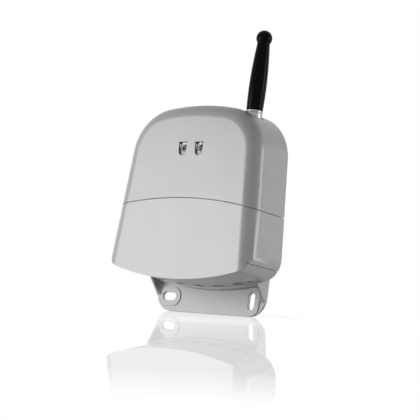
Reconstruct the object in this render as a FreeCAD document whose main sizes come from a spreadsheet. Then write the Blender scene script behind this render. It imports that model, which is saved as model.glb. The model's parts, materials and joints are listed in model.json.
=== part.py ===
import FreeCAD, Part
import math
import os
import re

import Sketcher
from FreeCAD import Rotation, Vector

# Radio receiver module: a two-cover housing on a cast wall bracket, with a stub antenna.
# The frame: +Z up, +X to the right as seen from the front, -Y out from the wall. The origin lies on
# the wall face of the bracket, midway between its two slots. Lengths are in millimetres.
# "Ahead" is a distance from the housing's back towards the front, and "height" is above its lowest point.

os.makedirs("parts", exist_ok=True)

SIZES = {
    # Wall bracket
    "plate_thick": 2.4,
    "platform_rise": 8.6,
    "platform_thick": 2.4,
    "bracket_half_width": 57.0,
    "bracket_drop": 12.3,
    "bracket_corner_radius": 15.0,
    "bracket_top_inset": 33.7,
    "foot_overlap": 10.0,
    "bracket_side_wall": 2.0,
    "lip_gap": 1.2,
    "lip_thick": 2.2,
    "flange_reach": 4.9,
    "flange_foot": 8.6,
    "flange_cove": 6.0,
    "slot_inset": 13.5,
    "flat_slot_length": 14.8,
    "flat_slot_width": 6.9,
    "upright_slot_length": 14.6,
    "upright_slot_width": 6.6,
    "pad_margin": 4.7,
    "pad_height": 0.8,
    # Housing form
    "housing_lift": 8.4,
    "housing_depth": 43.0,
    "housing_height": 145.7,
    "base_half_width": 76.4,
    "side_taper": 4.83,
    "top_radius": 211.9,
    "top_corner_radius": 39.9,
    "bottom_radius": 247.7,
    "bottom_corner_radius": 17.3,
    "front_edge_radius": 12.0,
    "wall": 2.5,
    "run_out": 10.0,
    "past": 1.0,
    "weld": 0.3,
    "fit_gap": 0.3,
    # Seams of the covers
    "seam_gap": 0.4,
    "seam_crown": 66.7,
    "seam_radius": 348.0,
    "lower_seam_height": 15.9,
    "tongue_drop": 4.0,
    "tongue_root": 5.0,
    "tongue_thick": 1.5,
    # Rear base
    "base_wall": 2.5,
    "rim_depth": 12.0,
    "rim_thick": 2.0,
    "seal_ahead": 5.0,
    "seal_width": 2.0,
    "seal_sink": 1.0,
    "seal_start": 21.5,
    "seal_clearance": 0.1,
    "standoff_radius": 3.4,
    "bracket_screw_inset": 11.0,
    "bracket_screw_low": 40.0,
    "bracket_screw_drop": 12.0,
    "bracket_boss_radius": 5.0,
    "wall_relief": 1.0,
    # Upper cover fixings
    "cover_screw_inset": 12.1,
    "cover_screw_low_height": 80.0,
    "cover_screw_antenna_gap": 17.4,
    "cover_screw_top_inset": 15.7,
    "cover_boss_radius": 4.0,
    "cover_pad_depth": 6.0,
    "cover_pad_radius": 5.0,
    # Screws
    "screw_shank_radius": 1.7,
    "screw_head_radius": 3.1,
    "screw_head_thick": 2.2,
    "screw_clearance": 0.05,
    "screw_hole_clearance": 0.3,
    "screw_length": 14.0,
    "board_screw_radius": 1.3,
    "board_screw_head_radius": 2.6,
    "board_screw_head_thick": 1.8,
    "board_screw_length": 6.0,
    "bracket_screw_length": 10.0,
    # Lower cover lugs
    "lug_inset": 23.0,
    "lug_ahead": 7.8,
    "lug_height": 16.9,
    "lug_thick": 3.0,
    "lug_half_width": 5.5,
    "lug_edge_inset": 5.1,
    "lug_rear": 3.4,
    "lug_front": 14.0,
    "lug_root_front": 24.0,
    "lug_slot_clearance": 0.4,
    "lug_boss_radius": 4.4,
    "lug_boss_root": 7.0,
    "lug_head_seat": 8.6,
    "shelf_thick": 6.0,
    "shelf_half_width": 6.0,
    "shelf_depth": 13.0,
    # Cable entries
    "entry_lug_gap": 12.0,
    "entry_ahead": 7.8,
    "entry_seat": 2.3,
    "entry_wall": 2.6,
    "entry_ring": 1.3,
    "entry_recess_radius": 5.1,
    "entry_hole_radius": 3.6,
    "grommet_bore_radius": 2.5,
    "grommet_clearance": 0.1,
    "grommet_edge": 0.6,
    "grommet_lip_thick": 2.4,
    "grommet_snap_radius": 4.4,
    "grommet_snap_thick": 1.6,
    # Circuit board
    "board_edge_gap": 0.5,
    "board_low": 28.0,
    "board_top_inset": 25.7,
    "board_ahead": 9.0,
    "board_thick": 1.6,
    "board_corner_radius": 5.0,
    "board_screw_inset": 5.0,
    # Terminals
    "terminal_pitch": 5.08,
    "terminal_inset": 2.0,
    "terminal_height": 11.0,
    "terminal_depth": 14.0,
    "terminal_block_pitch": 20.0,
    "terminal_entry": 3.6,
    "terminal_entry_ahead": 3.0,
    "terminal_screw_radius": 1.9,
    "terminal_screw_height": 6.0,
    "terminal_screw_depth": 6.0,
    "terminal_screw_sink": 0.6,
    # Relays
    "relay_width": 19.0,
    "relay_height": 15.5,
    "relay_depth": 15.8,
    "relay_first_x": 3.0,
    "relay_pitch": 22.0,
    "relay_rise": 16.0,
    "relay_edge": 0.8,
    # Mains transformer
    "transformer_x": -29.0,
    "transformer_width": 30.0,
    "transformer_rise": 30.0,
    "transformer_height": 25.0,
    "transformer_depth": 22.0,
    "transformer_frame": 4.0,
    # Fuse
    "fuse_x": -35.0,
    "fuse_shift": 21.0,
    "fuse_length": 20.0,
    "fuse_radius": 2.5,
    "fuse_cap_length": 5.0,
    "fuse_cap_thick": 0.2,
    "fuse_rise": 4.9,
    "clip_width": 4.0,
    "clip_thick": 0.5,
    # Smoothing capacitor
    "capacitor_x": -6.0,
    "capacitor_shift": 38.0,
    "capacitor_radius": 6.3,
    "capacitor_length": 20.0,
    # Controller chip
    "chip_x": 14.0,
    "chip_shift": 46.0,
    "chip_size": 10.0,
    "chip_thick": 1.4,
    # Radio module
    "radio_shift": 7.4,
    "radio_half_width": 12.0,
    "radio_height": 20.0,
    "radio_inset": 18.0,
    "radio_pin_inset": 0.5,
    "radio_pin_width": 2.5,
    "radio_stand": 2.0,
    "radio_board_thick": 1.0,
    "shield_margin": 2.0,
    "shield_top_margin": 6.0,
    "shield_depth": 3.2,
    # Learn buttons
    "button_first_x": -18.0,
    "button_pitch": 12.0,
    "button_shift": 22.0,
    "button_size": 6.2,
    "button_body_depth": 3.6,
    "button_cap_radius": 1.7,
    "button_cap_depth": 2.8,
    "button_cap_guide": 1.2,
    "button_travel": 0.3,
    "button_cap_clearance": 0.05,
    # Status lights
    "light_x": 8.5,
    "window_drop": 43.8,
    "window_height": 11.0,
    "window_top_half_width": 4.3,
    "window_foot_radius": 3.5,
    "window_side_lean": 6.0,
    "lens_clearance": 0.1,
    "lens_sink": 0.6,
    "lens_flange_margin": 1.2,
    "lens_flange_thick": 1.2,
    "reflector_radius": 5.6,
    "reflector_mouth_radius": 4.6,
    "lamp_radius": 2.5,
    "lamp_flange_radius": 2.9,
    "lamp_flange_thick": 1.0,
    "lamp_length": 8.6,
    "lamp_gap": 0.3,
    "lamp_wire_bore": 1.2,
    # Antenna mounting
    "antenna_inset": 22.69,
    "antenna_ahead": 18.9,
    "well_gap": 1.5,
    "well_wall": 2.0,
    "well_depth": 10.7,
    "well_floor_thick": 2.5,
    "gasket_thick": 0.8,
    "socket_flange_radius": 7.0,
    "socket_flange_thick": 2.0,
    "socket_wall": 0.7,
    "socket_bore_radius": 4.1,
    "socket_barrel_height": 9.6,
    "socket_shank_radius": 4.7,
    "socket_shank_length": 12.0,
    "socket_core_radius": 2.1,
    "socket_bore_floor": 1.5,
    "insulator_sink": 3.0,
    "stud_radius": 1.0,
    "stud_length": 0.8,
    "stud_clearance": 0.2,
    "stud_height": 7.0,
    "nut_radius": 8.1,
    "nut_thick": 3.4,
    "insulator_tail": 2.0,
    "pin_radius": 0.7,
    "pin_clearance": 0.05,
    # Coupling sleeve and antenna
    "sleeve_wall": 1.0,
    "sleeve_lift": 3.4,
    "sleeve_length": 9.6,
    "sleeve_lip_thick": 1.0,
    "sleeve_edge": 0.4,
    "antenna_gap": 0.2,
    "antenna_foot_radius": 6.8,
    "antenna_wide_radius": 7.25,
    "antenna_wide_rise": 18.8,
    "antenna_flank_radius": 400.0,
    "antenna_neck_radius": 5.3,
    "antenna_neck_rise": 54.8,
    "antenna_ball_radius": 6.6,
    "antenna_length": 67.1,
    "antenna_foot_edge": 0.8,
    "collar_radius": 5.4,
    "collar_thick": 3.4,
    "finger_clearance": 0.1,
    "finger_thick": 0.8,
    "finger_end_gap": 0.3,
    "finger_core_radius": 2.2,
    "antenna_wire_radius": 1.2,
    "antenna_wire_length": 34.0,
    "pin_end_gap": 0.7,
    "antenna_core_gap": 0.05,
    # Antenna lead inside the housing
    "lead_radius": 0.9,
    "lead_plug_radius": 2.0,
    "lead_plug_thick": 2.6,
    "lead_plug_inset": 4.5,
    "lead_barrel_length": 4.0,
    "lead_barrel_radius": 1.2,
    "lead_straight": 2.0,
}


def side_at(height, inset="0"):
    """The half width of the housing at this height, where its sides are straight."""
    return f"(base_half_width - ({inset}) / cos(side_taper) - tan(side_taper) * ({height}))"


def top_at(x):
    """The height of the housing's curved top at this distance from the middle."""
    return f"(housing_height - top_radius + sqrt(top_radius^2 - ({x})^2))"


def bottom_at(x):
    """The height of the housing's curved underside at this distance from the middle."""
    return f"(bottom_radius - sqrt(bottom_radius^2 - ({x})^2))"


DERIVED = {
    "bracket_top": "housing_height - bracket_top_inset",
    "bracket_screw_x": "bracket_half_width - bracket_screw_inset",
    "bracket_screw_high": "bracket_top - bracket_screw_drop",
    "slot_x": "bracket_half_width - slot_inset",
    "cover_screw_low_x": f"{side_at('cover_screw_low_height')} - cover_screw_inset",
    "cover_screw_top_x": "antenna_x - cover_screw_antenna_gap",
    "cover_screw_top_height": "housing_height - cover_screw_top_inset",
    "lug_x": f"{side_at('lug_height')} - lug_inset",
    "lug_inner_x": "lug_x - lug_half_width",
    "lug_outer_x": "base_half_width - lug_edge_inset",
    "lug_slot_radius": "screw_shank_radius + lug_slot_clearance",
    "entry_pitch": "(lug_x - entry_lug_gap) / 2",
    "entry_boss_radius": "entry_recess_radius + entry_ring",
    "grommet_stem_radius": "entry_hole_radius - grommet_clearance",
    "grommet_lip_radius": "entry_recess_radius - fit_gap",
    "board_front": "board_ahead + board_thick",
    "board_half_width": "cover_screw_low_x - cover_pad_radius - board_edge_gap",
    "board_high": "housing_height - board_top_inset",
    "board_screw_x": "board_half_width - board_screw_inset",
    "terminal_low": "board_low + terminal_inset",
    "relay_low": "board_low + relay_rise",
    "transformer_low": "board_low + transformer_rise",
    "fuse_height": "board_low + fuse_shift",
    "fuse_ahead": "board_front + fuse_rise",
    "capacitor_height": "board_low + capacitor_shift",
    "chip_height": "board_low + chip_shift",
    "radio_x": "antenna_x - radio_shift",
    "radio_high": "board_high - radio_inset",
    "radio_low": "radio_high - radio_height",
    "radio_rear": "board_front + radio_stand",
    "radio_front": "radio_rear + radio_board_thick",
    "button_height": "board_low + button_shift",
    "window_low": "housing_height - window_drop",
    "window_high": "window_low + window_height",
    "inner_front": "housing_depth - wall",
    "antenna_x": f"{side_at('housing_height')} - antenna_inset",
    "well_floor": f"{top_at('antenna_x')} - well_depth",
    "well_radius": "sleeve_radius + well_gap",
    "socket_floor": "well_floor + gasket_thick",
    "socket_barrel_radius": "socket_bore_radius + socket_wall",
    "socket_thread_hole": "socket_shank_radius + screw_clearance",
    "stud_reach": "socket_barrel_radius + stud_length",
    "sleeve_bore_radius": "stud_reach + stud_clearance",
    "sleeve_radius": "sleeve_bore_radius + sleeve_wall",
    "sleeve_lip_radius": "socket_barrel_radius + stud_clearance",
    "finger_radius": "socket_bore_radius - finger_clearance",
    "antenna_foot": "well_floor + sleeve_lift + sleeve_length + antenna_gap",
    "core_foot": "antenna_foot + antenna_core_gap",
    "socket_bore_base": "socket_floor + socket_flange_thick + socket_bore_floor",
    "finger_length": "core_foot - socket_bore_base - finger_end_gap",
    "antenna_pin_length": "core_foot - socket_bore_base - pin_end_gap",
    "lead_plug_height": "radio_high - lead_plug_inset",
    "thread_hole": "screw_shank_radius + screw_clearance",
    "screw_hole": "screw_shank_radius + screw_hole_clearance",
    "head_hole": "screw_head_radius + screw_hole_clearance",
}

doc = FreeCAD.newDocument("radio_receiver")
sheet = doc.addObject("Spreadsheet::Sheet", "Sizes")
for row, (alias, number) in enumerate(SIZES.items(), start=1):
    sheet.set(f"A{row}", alias)
    sheet.set(f"B{row}", str(number))
    sheet.setAlias(f"B{row}", alias)
doc.recompute()

NODES = {}

# How near two planes lie when they count as one
TOUCH = 0.01


# Expressions and places


def ex(text):
    """The text with each size's name turned into a reference to its cell."""

    def full(word):
        if word[0] in DERIVED:
            return f"({ex(DERIVED[word[0]])})"
        return f"Sizes.{word[0]}" if word[0] in SIZES else word[0]

    return re.sub("[a-z_]+", full, str(text))


def value(text):
    """What an expression comes to with the sizes as they are."""
    return float(sheet.evalExpression(ex(text)))


def bind(item, **texts):
    """Ties properties to expressions; a double underscore stands for a dot."""
    for name, text in texts.items():
        item.setExpression(name.replace("__", "."), ex(text))
    return item


def ahead(distance):
    """How far from the wall a point lies that is this far ahead of the housing's back."""
    return f"(plate_thick + platform_rise + ({distance}))"


def up(height):
    """The Z of a point that is this far above the housing's lowest point."""
    return f"(housing_lift + ({height}))"


def node(item, name):
    """Names an object as one of the part's pieces."""
    item.Label = name
    NODES[name] = item
    return item


# Primitives and booleans


def block(name, x, depth, height):
    """A box between two places across, two places ahead of the housing's back and two heights."""
    box = doc.addObject("Part::Box", name)
    bind(box, Length=f"({x[1]}) - ({x[0]})", Width=f"({depth[1]}) - ({depth[0]})")
    bind(box, Height=f"({height[1]}) - ({height[0]})")
    bind(box, Placement__Base__x=x[0], Placement__Base__z=up(height[0]))
    bind(box, Placement__Base__y=f"-{ahead(depth[1])}")
    return box


def post(name, x, height, depth, radius):
    """A cylinder that points forward, between two places ahead of the housing's back."""
    rod = doc.addObject("Part::Cylinder", name)
    rod.Placement.Rotation = Rotation(Vector(1, 0, 0), 90)
    bind(rod, Radius=radius, Height=f"({depth[1]}) - ({depth[0]})")
    bind(rod, Placement__Base__x=x, Placement__Base__y=f"-{ahead(depth[0])}", Placement__Base__z=up(height))
    return rod


def pillar(name, x, depth, height, radius):
    """An upright cylinder between two heights."""
    rod = doc.addObject("Part::Cylinder", name)
    bind(rod, Radius=radius, Height=f"({height[1]}) - ({height[0]})")
    bind(rod, Placement__Base__x=x, Placement__Base__y=f"-{ahead(depth)}", Placement__Base__z=up(height[0]))
    return rod


def bar(name, x, depth, height, radius):
    """A cylinder that lies across, between two places along X."""
    rod = doc.addObject("Part::Cylinder", name)
    rod.Placement.Rotation = Rotation(Vector(0, 1, 0), 90)
    bind(rod, Radius=radius, Height=f"({x[1]}) - ({x[0]})")
    bind(rod, Placement__Base__x=x[0], Placement__Base__y=f"-{ahead(depth)}", Placement__Base__z=up(height))
    return rod


def fuse(name, *pieces):
    """One solid of several that touch."""
    joined = doc.addObject("Part::MultiFuse", name)
    joined.Shapes = list(pieces)
    joined.Refine = True
    return joined


def common(name, *pieces):
    """What several solids share."""
    shared = doc.addObject("Part::MultiCommon", name)
    shared.Shapes = list(pieces)
    return shared


def cut(name, base, *tools):
    """A solid less one tool or several."""
    left = doc.addObject("Part::Cut", name)
    left.Base = base
    left.Tool = tools[0] if len(tools) == 1 else group(f"{name}Tools", *tools)
    return left


def group(name, *pieces):
    """Separate solids that count as one piece, or as one tool."""
    together = doc.addObject("Part::Compound", name)
    together.Links = list(pieces)
    return together


def slot_tool(name, x, height, depth, length, width, margin, upright):
    """A solid the shape of a slot with round ends, grown all round by a margin."""
    half = f"(({length}) / 2 - ({width}) / 2)"
    radius = f"(({width}) / 2 + ({margin}))"
    if upright:
        across = (f"{x} - {radius}", f"{x} + {radius}")
        heights = (f"{height} - {half}", f"{height} + {half}")
        centres = [(x, place) for place in heights]
    else:
        across = (f"{x} - {half}", f"{x} + {half}")
        heights = (f"{height} - {radius}", f"{height} + {radius}")
        centres = [(place, height) for place in across]
    middle = block(f"{name}Middle", across, depth, heights)
    ends = [post(f"{name}End{number}", *centre, depth, radius) for number, centre in enumerate(centres)]
    return fuse(name, middle, *ends)


# Sketched bodies


def body(name):
    """An empty body."""
    return doc.addObject("PartDesign::Body", name)


def sketch(owner, plane, across="0", upward="0", out="0"):
    """A sketch on one of a body's own planes, shifted in that plane and out of it."""
    drawn = owner.newObject("Sketcher::SketchObject", f"{owner.Name}Sketch")
    face = [feature for feature in owner.Origin.OriginFeatures if feature.Role == plane][0]
    drawn.AttachmentSupport = [(face, "")]
    drawn.MapMode = "FlatFace"
    bind(drawn, AttachmentOffset__Base__x=across, AttachmentOffset__Base__y=upward)
    bind(drawn, AttachmentOffset__Base__z=out)
    return drawn


def dimension(drawn, name, text, *constraint):
    """A constraint whose size follows an expression."""
    index = drawn.addConstraint(Sketcher.Constraint(*constraint, value(text)))
    drawn.renameConstraint(index, name)
    drawn.setExpression(f"Constraints.{name}", ex(text))


def trace(drawn, corners, closed=True):
    """A run of lines and arcs through corners.

    (x, y) ends a straight run. (x, y, radius, turn) ends an arc, whose turn is 1 anticlockwise and
    -1 clockwise."""
    places = [Vector(value(corner[0]), value(corner[1]), 0) for corner in corners]
    ends = []
    for index in range(0 if closed else 1, len(corners)):
        start, end = places[index - 1], places[index]
        if len(corners[index]) == 2:
            ends.append((drawn.addGeometry(Part.LineSegment(start, end)), 1, 2))
            continue
        radius, turn = value(corners[index][2]), corners[index][3]
        chord = end - start
        rise = math.sqrt(max(radius**2 - (chord.Length / 2) ** 2, 0))
        centre = (start + end) * 0.5 + Vector(-chord.y, chord.x, 0).normalize() * rise * turn
        first, last = (start, end) if turn > 0 else (end, start)
        angles = [math.atan2(place.y - centre.y, place.x - centre.x) for place in (first, last)]
        circle = Part.Circle(centre, Vector(0, 0, 1), radius)
        edge = drawn.addGeometry(Part.ArcOfCircle(circle, angles[0], angles[1]))
        ends.append((edge, 1, 2) if turn > 0 else (edge, 2, 1))
        dimension(drawn, f"radius{index}", corners[index][2], "Radius", edge)
    for order, (edge, start, end) in enumerate(ends):
        if closed or order:
            before = ends[order - 1]
            drawn.addConstraint(Sketcher.Constraint("Coincident", before[0], before[2], edge, start))
        else:
            dimension(drawn, "across_first", corners[0][0], "DistanceX", -1, 1, edge, start)
            dimension(drawn, "upward_first", corners[0][1], "DistanceY", -1, 1, edge, start)
        corner = corners[order if closed else order + 1]
        dimension(drawn, f"across{order}", corner[0], "DistanceX", -1, 1, edge, end)
        dimension(drawn, f"upward{order}", corner[1], "DistanceY", -1, 1, edge, end)
    return drawn


def ring_hole(drawn, radius):
    """A circle round the sketch's origin."""
    edge = drawn.addGeometry(Part.Circle(Vector(0, 0, 0), Vector(0, 0, 1), value(radius)))
    drawn.addConstraint(Sketcher.Constraint("Coincident", edge, 3, -1, 1))
    dimension(drawn, "radius", radius, "Radius", edge)
    return drawn


def pad(owner, drawn, length):
    """The sketch raised along its normal."""
    raised = owner.newObject("PartDesign::Pad", f"{owner.Name}Pad")
    raised.Profile = drawn
    bind(raised, Length=length)
    return raised


def prism(name, corners, rear, front):
    """An outline in the XZ plane, run from one place ahead of the housing's back to another."""
    owner = body(name)
    pad(owner, trace(sketch(owner, "XZ_Plane", out=ahead(rear)), corners), f"({front}) - ({rear})")
    return owner


def turned(name, x, depth, base, corners):
    """A profile of (radius, height over the base) turned about an upright axis."""
    owner = body(name)
    drawn = trace(sketch(owner, "XZ_Plane", across=x, upward=up(base), out=ahead(depth)), corners)
    spun = owner.newObject("PartDesign::Revolution", f"{name}Turn")
    spun.Profile = drawn
    spun.ReferenceAxis = (drawn, ["V_Axis"])
    spun.Angle = 360
    return owner


def rounded_corners(x, height, radius):
    """The corners of a rectangle with round corners, in a sketch at the row's own origin."""
    low, high = up(height[0]), up(height[1])
    return [
        (f"({x[1]}) - ({radius})", low),
        (x[1], f"{low} + ({radius})", radius, 1),
        (x[1], f"{high} - ({radius})"),
        (f"({x[1]}) - ({radius})", high, radius, 1),
        (f"({x[0]}) + ({radius})", high),
        (x[0], f"{high} - ({radius})", radius, 1),
        (x[0], f"{low} + ({radius})"),
        (f"({x[0]}) + ({radius})", low, radius, 1),
    ]


# Housing forms


def corner_centre(arc_height, arc_radius, corner_radius, end):
    """The centre of the arc that blends a side line into the top (end 1) or bottom (end -1) arc."""
    lean = math.radians(value("side_taper"))
    reach = value("base_half_width") - corner_radius / math.cos(lean)
    slope = math.tan(lean)
    middle = reach * slope + arc_height
    rest = reach**2 + arc_height**2 - (arc_radius - corner_radius) ** 2
    height = (middle + end * math.sqrt(middle**2 - (1 + slope**2) * rest)) / (1 + slope**2)
    return Vector(reach - slope * height, height, 0)


def housing_end(name, inset, rear, front, end):
    """The housing's outline run from rear to front, with its top (end 1) or bottom (end -1) arcs.

    The side lines run on past the other end. inset is how far the form lies inside the outer one."""
    where = "top" if end > 0 else "bottom"
    arc_height = "housing_height - top_radius" if end > 0 else "bottom_radius"
    start_height = "-run_out" if end > 0 else "housing_height + run_out"
    start_x = f"(base_half_width - ({inset}) / cos(side_taper) - tan(side_taper) * ({start_height}))"
    arc_radius = f"{where}_radius - ({inset})"
    corner_radius = f"{where}_corner_radius - ({inset})"
    lean = math.radians(value("side_taper"))
    lift = Vector(0, value("housing_lift"), 0)
    arc_middle = Vector(0, value(arc_height), 0)
    corner = corner_centre(arc_middle.y, value(f"{where}_radius"), value(f"{where}_corner_radius"), end)
    blend = math.atan2(corner.y - arc_middle.y, corner.x)

    owner = body(name)
    drawn = sketch(owner, "XZ_Plane", out=ahead(rear))
    start = Vector(value(start_x), value(start_height), 0)
    side_end = corner + Vector(math.cos(lean), math.sin(lean), 0) * value(corner_radius)

    def mirrored(place):
        return Vector(-place.x, place.y, 0)

    def arc(middle, radius, first, last):
        return Part.ArcOfCircle(Part.Circle(middle + lift, Vector(0, 0, 1), radius), first, last)

    right = drawn.addGeometry(Part.LineSegment(start + lift, side_end + lift))
    left = drawn.addGeometry(Part.LineSegment(mirrored(start) + lift, mirrored(side_end) + lift))
    if end > 0:
        spans = [(lean, blend), (blend, math.pi - blend), (math.pi - blend, math.pi - lean)]
    else:
        spans = [(blend, lean), (-math.pi - blend, blend), (math.pi - lean, math.pi - blend)]
    right_corner = drawn.addGeometry(arc(corner, value(corner_radius), *spans[0]))
    crown = drawn.addGeometry(arc(arc_middle, value(arc_radius), *spans[1]))
    left_corner = drawn.addGeometry(arc(mirrored(corner), value(corner_radius), *spans[2]))
    closing = drawn.addGeometry(Part.LineSegment(mirrored(start) + lift, start + lift))

    side_point, crown_point = (1, 2) if end > 0 else (2, 1)
    right_crown, left_crown = (1, 2) if end > 0 else (2, 1)
    for constraint in (
        ("Tangent", right, 2, right_corner, side_point),
        ("Tangent", right_corner, crown_point, crown, right_crown),
        ("Tangent", crown, left_crown, left_corner, side_point),
        ("Tangent", left_corner, crown_point, left, 2),
        ("Coincident", closing, 1, left, 1),
        ("Coincident", closing, 2, right, 1),
        ("PointOnObject", crown, 3, -2),
    ):
        drawn.addConstraint(Sketcher.Constraint(*constraint))
    dimension(drawn, "right_start", start_x, "DistanceX", -1, 1, right, 1)
    dimension(drawn, "left_start", f"-{start_x}", "DistanceX", -1, 1, left, 1)
    dimension(drawn, "right_height", up(start_height), "DistanceY", -1, 1, right, 1)
    dimension(drawn, "left_height", up(start_height), "DistanceY", -1, 1, left, 1)
    dimension(drawn, "crown_height", up(arc_height), "DistanceY", -1, 1, crown, 3)
    dimension(drawn, "crown_radius", arc_radius, "Radius", crown)
    dimension(drawn, "right_radius", corner_radius, "Radius", right_corner)
    dimension(drawn, "left_radius", corner_radius, "Radius", left_corner)
    for side, line, turn in (("right", right, "90 + side_taper"), ("left", left, "90 - side_taper")):
        heading = turn if end > 0 else f"{turn} - 180"
        index = drawn.addConstraint(Sketcher.Constraint("Angle", line, math.radians(value(heading))))
        drawn.renameConstraint(index, f"{side}_lean")
        drawn.setExpression(f"Constraints.{side}_lean", ex(f"({heading}) * 1 deg"))
    raised = pad(owner, drawn, f"({front}) - ({rear})")
    return owner, raised


def housing_form(name, inset, rear, front, rounded=True):
    """A solid the shape of the housing, inset all round, with or without its round front edge.

    The front edge is round along the sides and top and runs out crisp at the bottom."""
    upper, raised = housing_end(f"{name}Top", inset, rear, front, 1)
    lower, _ = housing_end(f"{name}Bottom", inset, rear, front, -1)
    doc.recompute()
    if rounded:
        front_face = -value(ahead(front))
        floor = value(up("-run_out"))
        edges = []
        for number, edge in enumerate(raised.Shape.Edges, start=1):
            box = edge.BoundBox
            at_front = abs(box.YMin - front_face) < TOUCH and abs(box.YMax - front_face) < TOUCH
            if at_front and box.ZMax > floor + TOUCH:
                edges.append(f"Edge{number}")
        round_edge = upper.newObject("PartDesign::Fillet", f"{name}RoundEdge")
        round_edge.Base = (raised, edges)
        bind(round_edge, Radius=f"front_edge_radius - ({inset})")
    return common(name, upper, lower)


def seam_band(name, low, high):
    """The space between two arcs that run with the seam of the covers, low and high above its line."""
    reach = "(base_half_width + run_out)"
    middle = "(seam_crown - seam_radius)"

    def side(offset):
        return up(f"{middle} + sqrt((seam_radius + ({offset}))^2 - {reach}^2)")

    corners = [
        (f"-{reach}", side(low)),
        (reach, side(low), f"seam_radius + ({low})", -1),
        (reach, side(high)),
        (f"-{reach}", side(high), f"seam_radius + ({high})", 1),
    ]
    return prism(name, corners, "-run_out", "housing_depth + run_out")


ALL_ACROSS = ("-base_half_width - run_out", "base_half_width + run_out")
outer_form = housing_form("OuterForm", "0", "0", "housing_depth")
inner_form = housing_form("InnerForm", "wall", "-run_out", "inner_front")
shell = cut("HousingShell", outer_form, inner_form)
SIDES = (("left", "-"), ("right", ""))
COVER_SCREWS = [
    (f"{sign}{x}", height)
    for x, height in (
        ("cover_screw_low_x", "cover_screw_low_height"),
        ("cover_screw_top_x", "cover_screw_top_height"),
    )
    for _, sign in SIDES
]
BRACKET_SCREWS = [
    (f"{sign}bracket_screw_x", height)
    for height in ("bracket_screw_low", "bracket_screw_high")
    for _, sign in SIDES
]
BOARD_SCREWS = [
    (f"{sign}board_screw_x", height)
    for height in ("board_low + board_screw_inset", "board_high - board_screw_inset")
    for _, sign in SIDES
]


# Wall bracket: a cast foot plate with raised pads round its slots, a hollow platform and two side flanges


def make_bracket():
    side = "bracket_half_width"
    inner = "(bracket_half_width - bracket_side_wall)"
    radius = "bracket_corner_radius"
    wall_plane = "-plate_thick - platform_rise"
    plate_front = "-platform_rise"
    foot_low = "-bracket_drop - housing_lift"
    foot_high = "foot_overlap"
    foot = prism(
        "FootPlate",
        [
            (side, up(foot_high)),
            (f"-{side}", up(foot_high)),
            (f"-{side}", f"{up(foot_low)} + {radius}"),
            (f"-{side} + {radius}", up(foot_low), radius, 1),
            (f"{side} - {radius}", up(foot_low)),
            (side, f"{up(foot_low)} + {radius}", radius, 1),
        ],
        wall_plane,
        plate_front,
    )

    def platform(name, inset, bottom, top, rear, front):
        edge = f"({side} - ({inset}))"
        arc = f"(bottom_radius + lip_gap - ({bottom}))"
        low = up(f"bottom_radius - sqrt({arc}^2 - {edge}^2)")
        bend = f"({radius} - ({inset}))"
        corners = [
            (f"-{edge}", low),
            (edge, low, arc, 1),
            (edge, f"{up(top)} - {bend}"),
            (f"{edge} - {bend}", up(top), bend, 1),
            (f"-{edge} + {bend}", up(top)),
            (f"-{edge}", f"{up(top)} - {bend}", bend, 1),
        ]
        return prism(name, corners, rear, front)

    raised = platform("Platform", "0", "0", "bracket_top", wall_plane, "0")
    hollow = platform(
        "PlatformHollow",
        "bracket_side_wall",
        "lip_thick",
        "bracket_top - bracket_side_wall",
        f"{wall_plane} - run_out",
        "-platform_thick",
    )
    tray = cut("PlatformTray", raised, hollow)

    # Side flanges: they carry the housing's underside and slope back down to the foot plate.
    flange_top = f"({bottom_at(inner)} - fit_gap)"
    profile = [
        (f"-{ahead(wall_plane)}", up("-flange_foot")),
        (f"-{ahead(wall_plane)}", up("foot_overlap")),
        (f"-{ahead('-weld')}", up("foot_overlap")),
        (f"-{ahead('-weld')}", up(flange_top)),
        (f"-{ahead('flange_reach')}", up(flange_top)),
        (f"-{ahead(plate_front)}", up("-flange_foot")),
    ]

    def across_prism(name, low, high):
        owner = body(name)
        pad(owner, trace(sketch(owner, "YZ_Plane", out=low), profile), f"({high}) - ({low})")
        return owner

    flanges = []
    for name, low, high in (("Left", f"-{side}", f"-{inner}"), ("Right", inner, side)):
        flanges.append(across_prism(f"{name}Flange", low, high))
    coves = []
    for name, sign in SIDES:
        root, tip = f"{inner}", f"({inner} - flange_cove)"
        low, high = (f"-{root} - weld", f"-{tip}") if sign else (tip, f"{root} + weld")
        wedge = across_prism(f"{name}CoveBlank", low, high)
        middle = "flange_cove - platform_rise"
        scoop = pillar(f"{name}CoveScoop", f"{sign}{tip}", middle, (foot_low, "foot_overlap"), "flange_cove")
        front_waste = block(
            f"{name}CoveWaste",
            (low, high),
            (middle, "flange_reach + run_out"),
            (foot_low, "foot_overlap + run_out"),
        )
        coves.append(cut(f"{name}Cove", wedge, scoop, front_waste))

    pads = []
    holes = []
    for name, x, length, width, upright in (
        ("FlatSlot", "-slot_x", "flat_slot_length", "flat_slot_width", False),
        ("UprightSlot", "slot_x", "upright_slot_length", "upright_slot_width", True),
    ):
        depth = (f"{plate_front} - weld", f"{plate_front} + pad_height")
        pads.append(slot_tool(f"{name}Pad", x, "-housing_lift", depth, length, width, "pad_margin", upright))
        depth = (f"{wall_plane} - run_out", f"{plate_front} + run_out")
        holes.append(slot_tool(name, x, "-housing_lift", depth, length, width, "0", upright))
    for number, (x, height) in enumerate(BRACKET_SCREWS):
        depth = (f"{wall_plane} + wall_relief", "-platform_thick + weld")
        pads.append(post(f"BracketBoss{number}", x, height, depth, "bracket_boss_radius"))
        depth = (f"{wall_plane} + 2 * wall_relief", "run_out")
        holes.append(post(f"BracketThread{number}", x, height, depth, "thread_hole"))
    whole = fuse("BracketBlank", foot, tray, *flanges, *coves, *pads)
    return node(cut("WallBracket", whole, *holes), "wall_bracket")


make_bracket()


# Rear base: back wall with a rim inside the covers, and the bottom wall with the cable entries


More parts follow.
